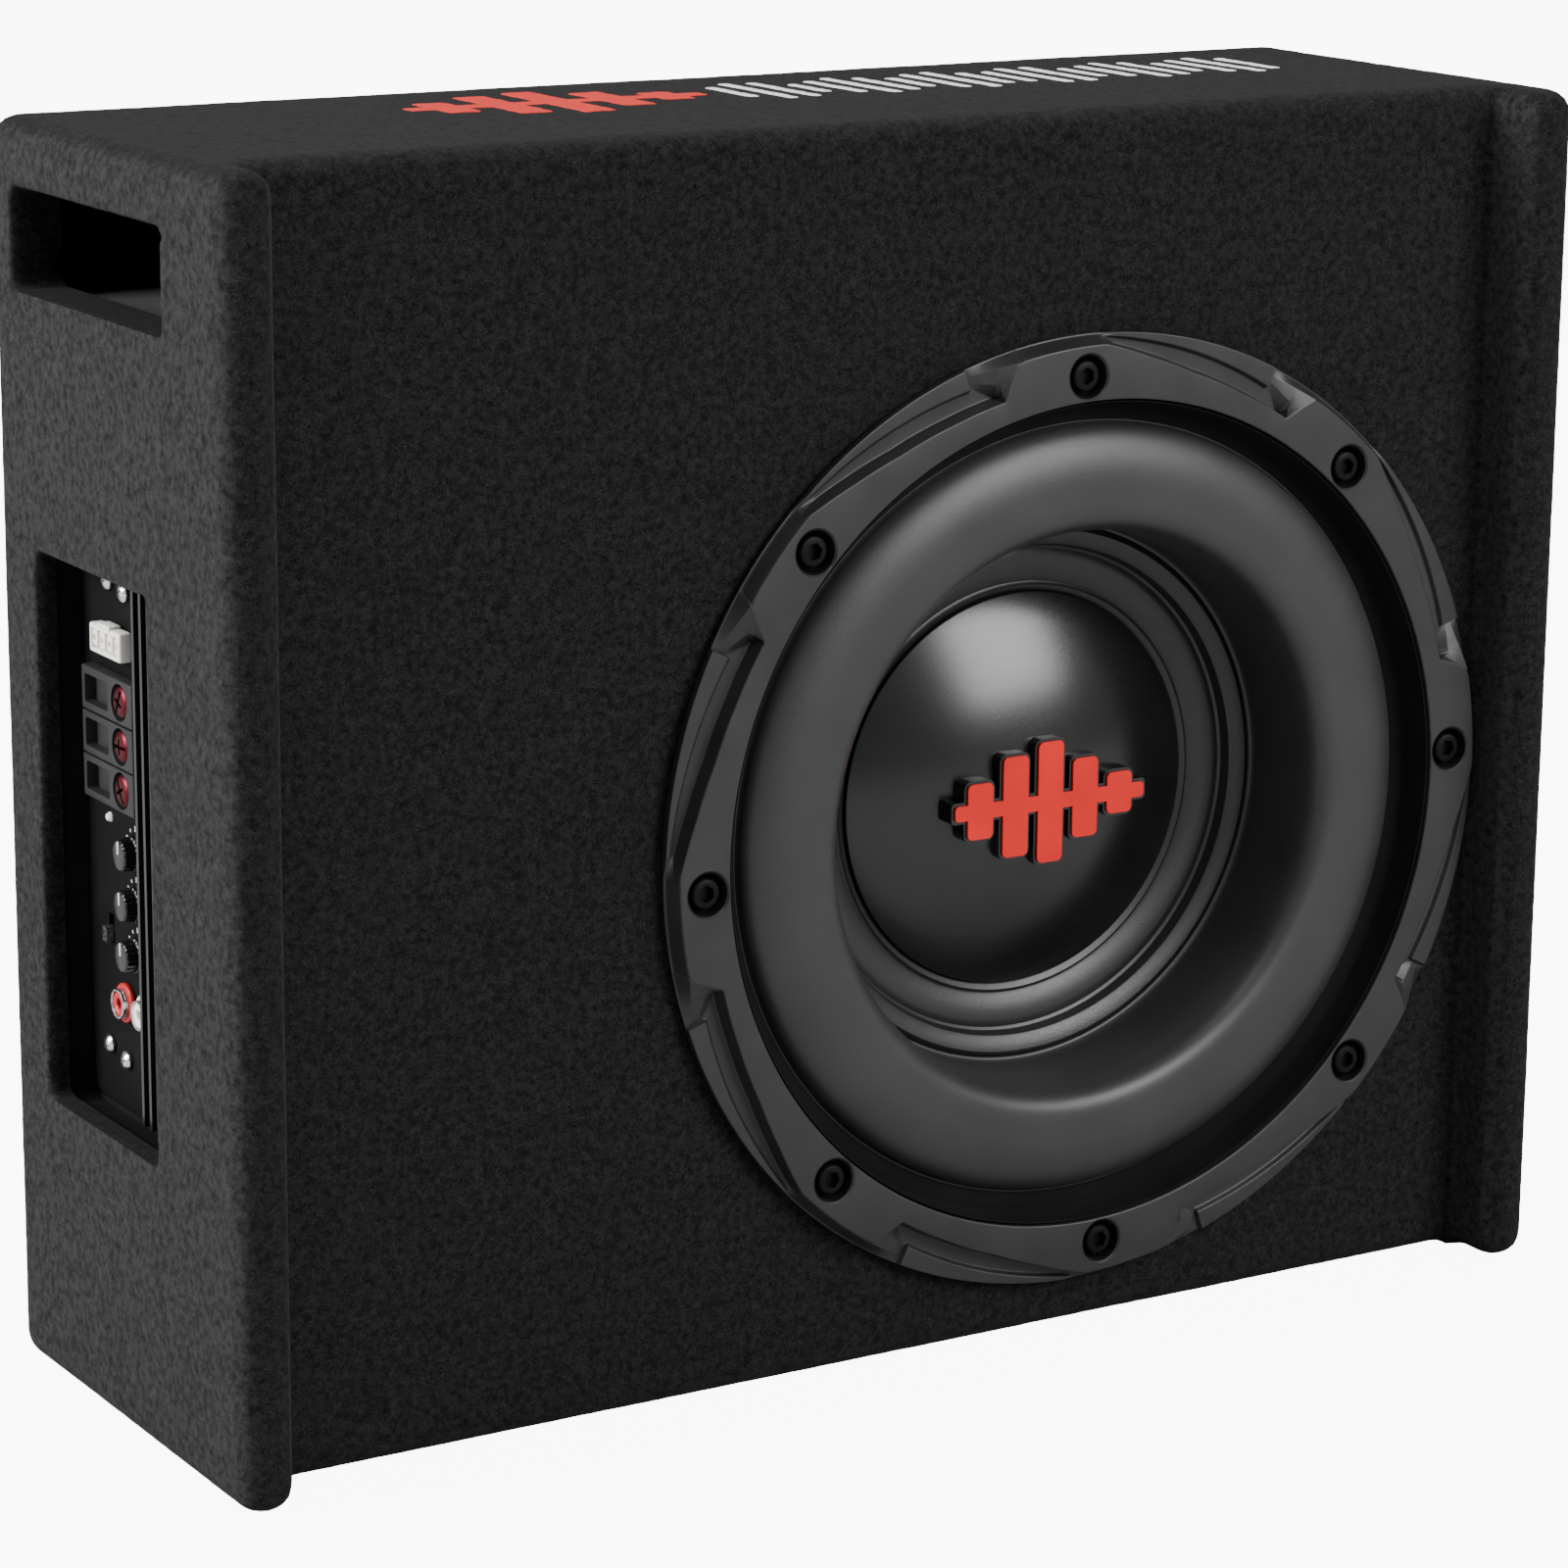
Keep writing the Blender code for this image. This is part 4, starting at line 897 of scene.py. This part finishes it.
def dome_line(lift=0.0):
    """Points (reach, height) from the dust cap's middle to its edge, in millimetres."""
    ball = (CAP_RADIUS ** 2 + CAP_RISE ** 2) / (2 * CAP_RISE)
    reaches = [CAP_RADIUS * sin(pi / 2 * index / 24) for index in range(25)]
    return [(reach, CAP_EDGE + sqrt(ball * ball - reach * reach) - ball + CAP_RISE + lift)
            for reach in reaches]


def build_cap():
    """Satin dome with a rolled rim, sitting on the cone."""
    front = dome_line()
    rim = [(57.15, -33.0), (57.0, -33.5), (56.0, -33.6)]
    back = [(reach * 0.982, height) for reach, height in reversed(dome_line(-1.0))]
    cap = turned("dust_cap_dome", mm(*front, *rim, *back[1:]), 192)
    on_driver(smooth(cap, 40))
    finish_piece(cap, "cap_plastic", CONE_BODY, "dust_cap")


def build_badge():
    """Raised waveform badge on the dome: black body with a red face."""
    for name, low, high, grow, slot in (("cap_badge_body", -30.0, -15.6, 0.9, "cap_plastic"),
                                        ("cap_badge_face", -15.55, -14.9, 0.0, "badge_red")):
        badge = waveform(name, 11.8, 8.4, (16, 29, 35, 23, 12), 4.4, 64.0, low, high, grow)
        if slot == "cap_plastic":
            seat = turned("seat", mm(*dome_line(0.05), (CAP_RADIUS, -60.0), (0.0, -60.0)), 96)
            boolean(badge, seat)
        on_driver(badge)
        smooth(badge)
        replaced = ("cap_badge",) if slot == "badge_red" else ()
        finish_piece(badge, slot, CONE_BODY, *replaced)


def waveform(name, pitch, width, heights, rule, length, low, high, grow=0.0):
    """Row of bars on a rule, all sizes in millimetres, standing along local Z."""
    item = block(name, (-(length / 2 + grow) * MM, -(rule / 2 + grow) * MM, low * MM),
                 ((length / 2 + grow) * MM, (rule / 2 + grow) * MM, high * MM), 1.2 * MM,
                 edges=runs_along(2))
    for index, height in enumerate(heights):
        x = (index - (len(heights) - 1) / 2) * pitch
        bar = block("bar", ((x - width / 2 - grow) * MM, -(height / 2 + grow) * MM, (low - 0.01) * MM),
                    ((x + width / 2 + grow) * MM, (height / 2 + grow) * MM, (high + 0.01) * MM),
                    (1.6 + grow) * MM, edges=runs_along(2))
        boolean(item, bar, "UNION")
    return item


def build_screws():
    """Socket-head screws, one in each well, each turned its own way."""
    top = 6.4
    head = turned("driver_screw_look", mm(
        (0, top), (3.2, top), (3.9, top - 0.25), (4.3, top - 0.8), (4.4, 2.95), (2.1, 2.9), (2.1, -11.5),
        (0, -13.5)), 40)
    socket = prism("socket", 2.5 * MM, (top - 2.2) * MM, (top + 1) * MM, 6)
    boolean(head, socket)
    smooth(head, 30)
    mesh = head.data
    bpy.data.objects.remove(head, do_unlink=True)
    for index, angle in enumerate(bolt_angles()):
        screw = mesh_object(f"flange_screw_{index + 1}", mesh.copy())
        on_driver(at_bolt(screw, angle, spin=index * 0.7))
        finish_piece(screw, "black_screw", ROOT, f"driver_screw_{index + 1}")


# ---- amplifier fittings

def centre(node):
    low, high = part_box(node)
    return (low + high) / 2


def outward(node):
    """Heights of a left-side node from the world's centre plane: nearest and furthest."""
    low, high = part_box(node)
    return -high.x, -low.x


def build_knobs():
    """Fluted knobs with a white pointer and a printed dial behind each."""
    base = PLATE_OUT + 0.3 * MM
    for name in ("level_knob", "crossover_knob", "boost_knob"):
        spot = centre(name)
        grip = mm((0, 4.9), (3.2, 4.95), (3.9, 4.8), (4.3, 4.4), (4.6, 1.4), (4.95, 1.1), (5.0, 0.1),
                  (4.8, 0), (0, 0)) + (0, base)
        knob = fluted(f"{name}_grip", grip, 144, 18, 0.30 * MM, 3.4 * MM)
        on_panel(smooth(knob, 32), spot.y, spot.z)
        finish_piece(knob, "knob_grey", f"{name}_body", name)
        pointer = block(f"{name}_pointer", (0.4 * MM, -0.35 * MM, base + 4.7 * MM),
                        (3.9 * MM, 0.35 * MM, base + 5.02 * MM), 0.12 * MM)
        on_panel(smooth(pointer), spot.y, spot.z)
        finish_piece(pointer, "socket_white", f"{name}_body")
        build_dial(name, spot)


def build_dial(name, spot):
    """Printed tick marks round one knob."""
    ticks = []
    for index in range(11):
        angle = radians(-140 + 28 * index)
        length = 1.5 * MM if index % 5 == 0 else 0.9 * MM
        tick = block("tick", (6.0 * MM, -0.2 * MM, PLATE_OUT - 0.02 * MM),
                     (6.0 * MM + length, 0.2 * MM, PLATE_OUT + 0.08 * MM), 0.03 * MM, 1)
        ticks.append(spun(tick, angle))
    dial = joined(f"{name}_dial", ticks)
    on_panel(dial, spot.y, spot.z)
    finish_piece(dial, "socket_white", ROOT)


def build_terminal_block():
    """Three-way screw terminal: grey housing, wire entries, copper clamp screws."""
    low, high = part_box("power_terminal_block")
    pitch = (high.z - low.z) / 3
    housing = block("terminal_housing", low, high, 0.5 * MM, 3)
    cuts = []
    for index in range(3):
        z = low.z + (index + 0.5) * pitch
        well = prism("well", CLAMP_WELL, -low.x - 3.0 * MM, -low.x + 2 * MM, 48)
        cuts.append(on_panel(well, CLAMP_Y, z))
        cuts.append(block("entry", (low.x - 1 * MM, CLAMP_Y + 7.4 * MM, z - 3.9 * MM),
                          (low.x + 3.2 * MM, high.y - 2.2 * MM, z + 3.9 * MM), 0.8 * MM, 3, runs_along(0)))
        if index:
            edge = low.z + index * pitch
            cuts.append(block("groove", (low.x - 1 * MM, low.y - 1 * MM, edge - 0.35 * MM),
                              (low.x + 1.6 * MM, high.y + 1 * MM, edge + 0.35 * MM)))
    boolean(housing, joined("cuts", cuts))
    smooth(housing, 30)
    finish_piece(housing, "terminal_grey", ROOT, "power_terminal_block")
    for index in range(3):
        name = f"clamp_screw_{index + 1}"
        spot = centre(name)
        base, tip = outward(name)
        screw = turned(f"{name}_head", [
            (0, tip), (2.4 * MM, tip), (3.3 * MM, tip - 0.15 * MM), (4.1 * MM, tip - 0.6 * MM),
            (4.5 * MM, tip - 1.2 * MM), (4.5 * MM, base), (0, base)], 56)
        slots = [block("slot", (-3.6 * MM, -0.5 * MM, tip - 1.4 * MM), (3.6 * MM, 0.5 * MM, tip + 1 * MM)),
                 block("slot", (-0.5 * MM, -2.2 * MM, tip - 1.4 * MM), (0.5 * MM, 2.2 * MM, tip + 1 * MM))]
        for slot in slots:
            boolean(screw, spun(slot, 0.5 + index * 1.1))
        on_panel(smooth(screw, 35), spot.y, spot.z)
        finish_piece(screw, "clamp_copper", f"{name}_body", name)


def build_socket():
    """White nylon plug housing with its latch and a row of ways, each with a pin hole."""
    low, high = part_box("high_level_socket")
    shell = block("plug_shell", low, high, 0.7 * MM, 3)
    mouth = block("mouth", (low.x - 1 * MM, low.y + 1.3 * MM, low.z + 1.3 * MM),
                  (low.x + 2.8 * MM, high.y - 1.3 * MM, high.z - 1.3 * MM), 0.5 * MM, 2, runs_along(0))
    boolean(shell, mouth)
    latch = block("latch", (low.x - 0.2 * MM, low.y + 6 * MM, high.z - 0.9 * MM),
                  (low.x + 3.4 * MM, high.y - 6 * MM, high.z + 0.9 * MM), 0.3 * MM, 2)
    boolean(shell, latch, "UNION")
    smooth(shell, 30)
    finish_piece(shell, "socket_white", ROOT, "high_level_socket")
    ways = []
    for index in range(SOCKET_WAYS):
        y = low.y + (high.y - low.y) * (index + 0.5) / SOCKET_WAYS
        way = block("way", (low.x + 0.5 * MM, y - 1.7 * MM, low.z + 1.8 * MM),
                    (low.x + 2.9 * MM, y + 1.7 * MM, high.z - 1.8 * MM), 0.4 * MM, 2)
        hole = prism("hole", 0.9 * MM, -low.x - 1.6 * MM, -low.x + 1 * MM, 24)
        boolean(way, on_panel(hole, y, (low.z + high.z) / 2))
        ways.append(way)
    core = joined("plug_core", ways)
    smooth(core, 30)
    finish_piece(core, "socket_white", ROOT)


def build_jacks():
    """Signal jacks: coloured collar and core with a bright sleeve between them."""
    for side, slot in (("right", "plug_red"), ("left", "socket_white")):
        node = f"rca_jack_{side}"
        spot = centre(node)
        _, tip = outward(node)
        collar = turned(f"jack_collar_{side}", mm(
            (4.15, 0.3), (5.2, 0.3), (5.45, 0.5), (5.45, 1.3), (5.2, 1.6), (4.15, 1.7)) + (0, PLATE_OUT), 64)
        on_panel(smooth(collar), spot.y, spot.z)
        finish_piece(collar, slot, ROOT, node)
        sleeve = turned(f"jack_sleeve_{side}", [
            (3.45 * MM, tip - 0.2 * MM), (3.6 * MM, tip), (3.95 * MM, tip), (4.1 * MM, tip - 0.2 * MM),
            (4.1 * MM, tip - 0.8 * MM), (3.95 * MM, tip - 0.9 * MM), (4.1 * MM, tip - 1.0 * MM),
            (4.1 * MM, PLATE_OUT - 1 * MM), (3.45 * MM, PLATE_OUT - 1 * MM)], 64)
        on_panel(smooth(sleeve), spot.y, spot.z)
        finish_piece(sleeve, "bright_steel", ROOT)
        core = turned(f"jack_core_{side}", [
            (1.5 * MM, tip - 0.7 * MM), (1.7 * MM, tip - 0.5 * MM), (3.2 * MM, tip - 0.5 * MM),
            (3.4 * MM, tip - 0.7 * MM), (3.4 * MM, PLATE_OUT - 1 * MM), (1.5 * MM, PLATE_OUT - 1 * MM)], 48)
        on_panel(smooth(core), spot.y, spot.z)
        finish_piece(core, slot, ROOT)


def build_plate_screws():
    """Bright pan-head screws with crossed recesses."""
    for index in range(4):
        node = f"plate_screw_{index + 1}"
        spot = centre(node)
        _, tip = outward(node)
        head = turned(f"pan_head_{index + 1}", [
            (0, tip + 0.1 * MM), (1.1 * MM, tip), (2.0 * MM, tip - 0.4 * MM), (2.6 * MM, tip - 1.1 * MM),
            (2.6 * MM, PLATE_OUT + 0.3 * MM), (1.4 * MM, PLATE_OUT + 0.3 * MM),
            (1.4 * MM, PLATE_OUT - 4 * MM), (0, PLATE_OUT - 4 * MM)], 48)
        for turn in (0.3 + index, 0.3 + index + pi / 2):
            slot = block("slot", (-1.5 * MM, -0.28 * MM, tip - 0.8 * MM), (1.5 * MM, 0.28 * MM, tip + 1 * MM))
            boolean(head, spun(slot, turn))
        on_panel(smooth(head, 30), spot.y, spot.z)
        finish_piece(head, "bright_steel", ROOT, node)


# ---- top print

def build_top_print():
    """Printed waveform and spectrum bars, laid on the felt of the top."""
    wave = waveform("print_wave", 17.0, 10.0, (24, 42, 50, 34, 18), 7.0, 92.0, 0.0, 0.5)
    lay_on_top(wave, -63 * MM, "plug_red", "print_red")
    bars = []
    for index in range(22):
        x = (index + 0.5) * 8.4 * MM
        reach = (8.0 + 9.0 * abs(sin(0.85 * index + 0.6)) + 4.0 * abs(sin(2.3 * index))) * MM
        bars.append(block("bar", (x - 1.8 * MM, -reach, 0.0), (x + 1.8 * MM, reach, 0.5 * MM), 1.2 * MM,
                          edges=runs_along(2)))
    lay_on_top(joined("print_bars", bars), -12 * MM, "socket_white", "print_white")


def lay_on_top(item, x, slot, look):
    """Make a flat print follow the felt under it, as ink that soaked into its fibres."""
    item.data.transform(Matrix.Translation((x, PRINT_Y, CAD_HIGH.z - 0.35 * MM)))
    remesh = item.modifiers.new("even_mesh", "REMESH")
    remesh.mode = "VOXEL"
    remesh.voxel_size = 0.45 * MM
    apply_modifiers(item)
    spots = vectors(item.data.vertices, "co")
    for spot in spots:
        here = Vector(spot)
        frayed = here * 900.0
        spot += (FRAY * noise.noise(frayed), FRAY * noise.noise(frayed + Vector((7, 3, 1))),
                 felt_rise(here) + 0.10 * MM)
    place_vertices(item, spots)
    smooth(item, 60)
    finish_piece(item, slot, ROOT, look=look)


# ---- studio

def lift_for_camera(tree, base, strength):
    """Shine at the base strength for light rays, and FLOOR_LIFT brighter for the camera."""
    seen = tree.nodes.new("ShaderNodeLightPath").outputs["Is Camera Ray"]
    lift = tree.nodes.new("ShaderNodeMath")
    lift.operation = "MULTIPLY_ADD"
    lift.inputs[1].default_value = FLOOR_LIFT
    lift.inputs[2].default_value = base
    tree.links.new(seen, lift.inputs[0])
    tree.links.new(lift.outputs["Value"], strength)


def aimed(name, data, spot, rotation):
    """Put a light or a camera into the scene."""
    item = bpy.data.objects.new(name, data)
    bpy.context.scene.collection.objects.link(item)
    item.location = spot
    item.rotation_mode = "QUATERNION"
    item.rotation_quaternion = rotation
    return item


def build_backdrop():
    """Pale floor and sky, which look white to the camera and light the object softly."""
    floor = block("studio_floor", (-6, -6, -0.02), (6, 6, -0.0005))
    made = Nodes("floor_look")
    made.set(roughness=0.8, specular_ior_level=0.1, emission_color=WHITE)
    made.colour(made.ramp(made.noise(3.0), (0.3, (0.44,) * 3), (0.7, (0.48,) * 3)))
    lift_for_camera(made.tree, 0.0, made.shader.inputs["Emission Strength"])
    floor.data.materials.append(made.material)
    world = bpy.data.worlds.new("studio_world")
    bpy.context.scene.world = world
    world.use_nodes = True
    sky = world.node_tree.nodes["Background"]
    sky.inputs["Color"].default_value = WHITE
    lift_for_camera(world.node_tree, WORLD_LIGHT, sky.inputs["Strength"])


def build_lights():
    """Broad soft lights, all aimed at the middle of the box."""
    for name, spot, size, power in SOFT_LIGHTS:
        data = bpy.data.lights.new(name, "AREA")
        data.size = size
        data.energy = power
        aimed(name, data, spot, (LIGHT_TARGET - Vector(spot)).to_track_quat("-Z", "Y"))


def build_camera():
    """Long lens in front of the box, to its left and above it."""
    data = bpy.data.cameras.new("camera")
    data.lens = CAMERA_LENS
    data.clip_end = 50.0
    turn = (Matrix.Rotation(-CAMERA_YAW, 4, "Z") @ Matrix.Rotation(pi / 2 - CAMERA_PITCH, 4, "X")
            @ Matrix.Rotation(-CAMERA_ROLL, 4, "Z"))
    bpy.context.scene.camera = aimed("camera", data, CAMERA_SPOT, turn.to_quaternion())


dress_cad_nodes()
build_carpet()
build_flange()
build_shadow_ring()
build_well_shade()
build_basket()
build_surround()
build_spider()
build_leads()
build_cone()
build_cap()
build_badge()
build_screws()
build_knobs()
build_terminal_block()
build_socket()
build_jacks()
build_plate_screws()
build_top_print()
build_backdrop()
build_lights()
build_camera()
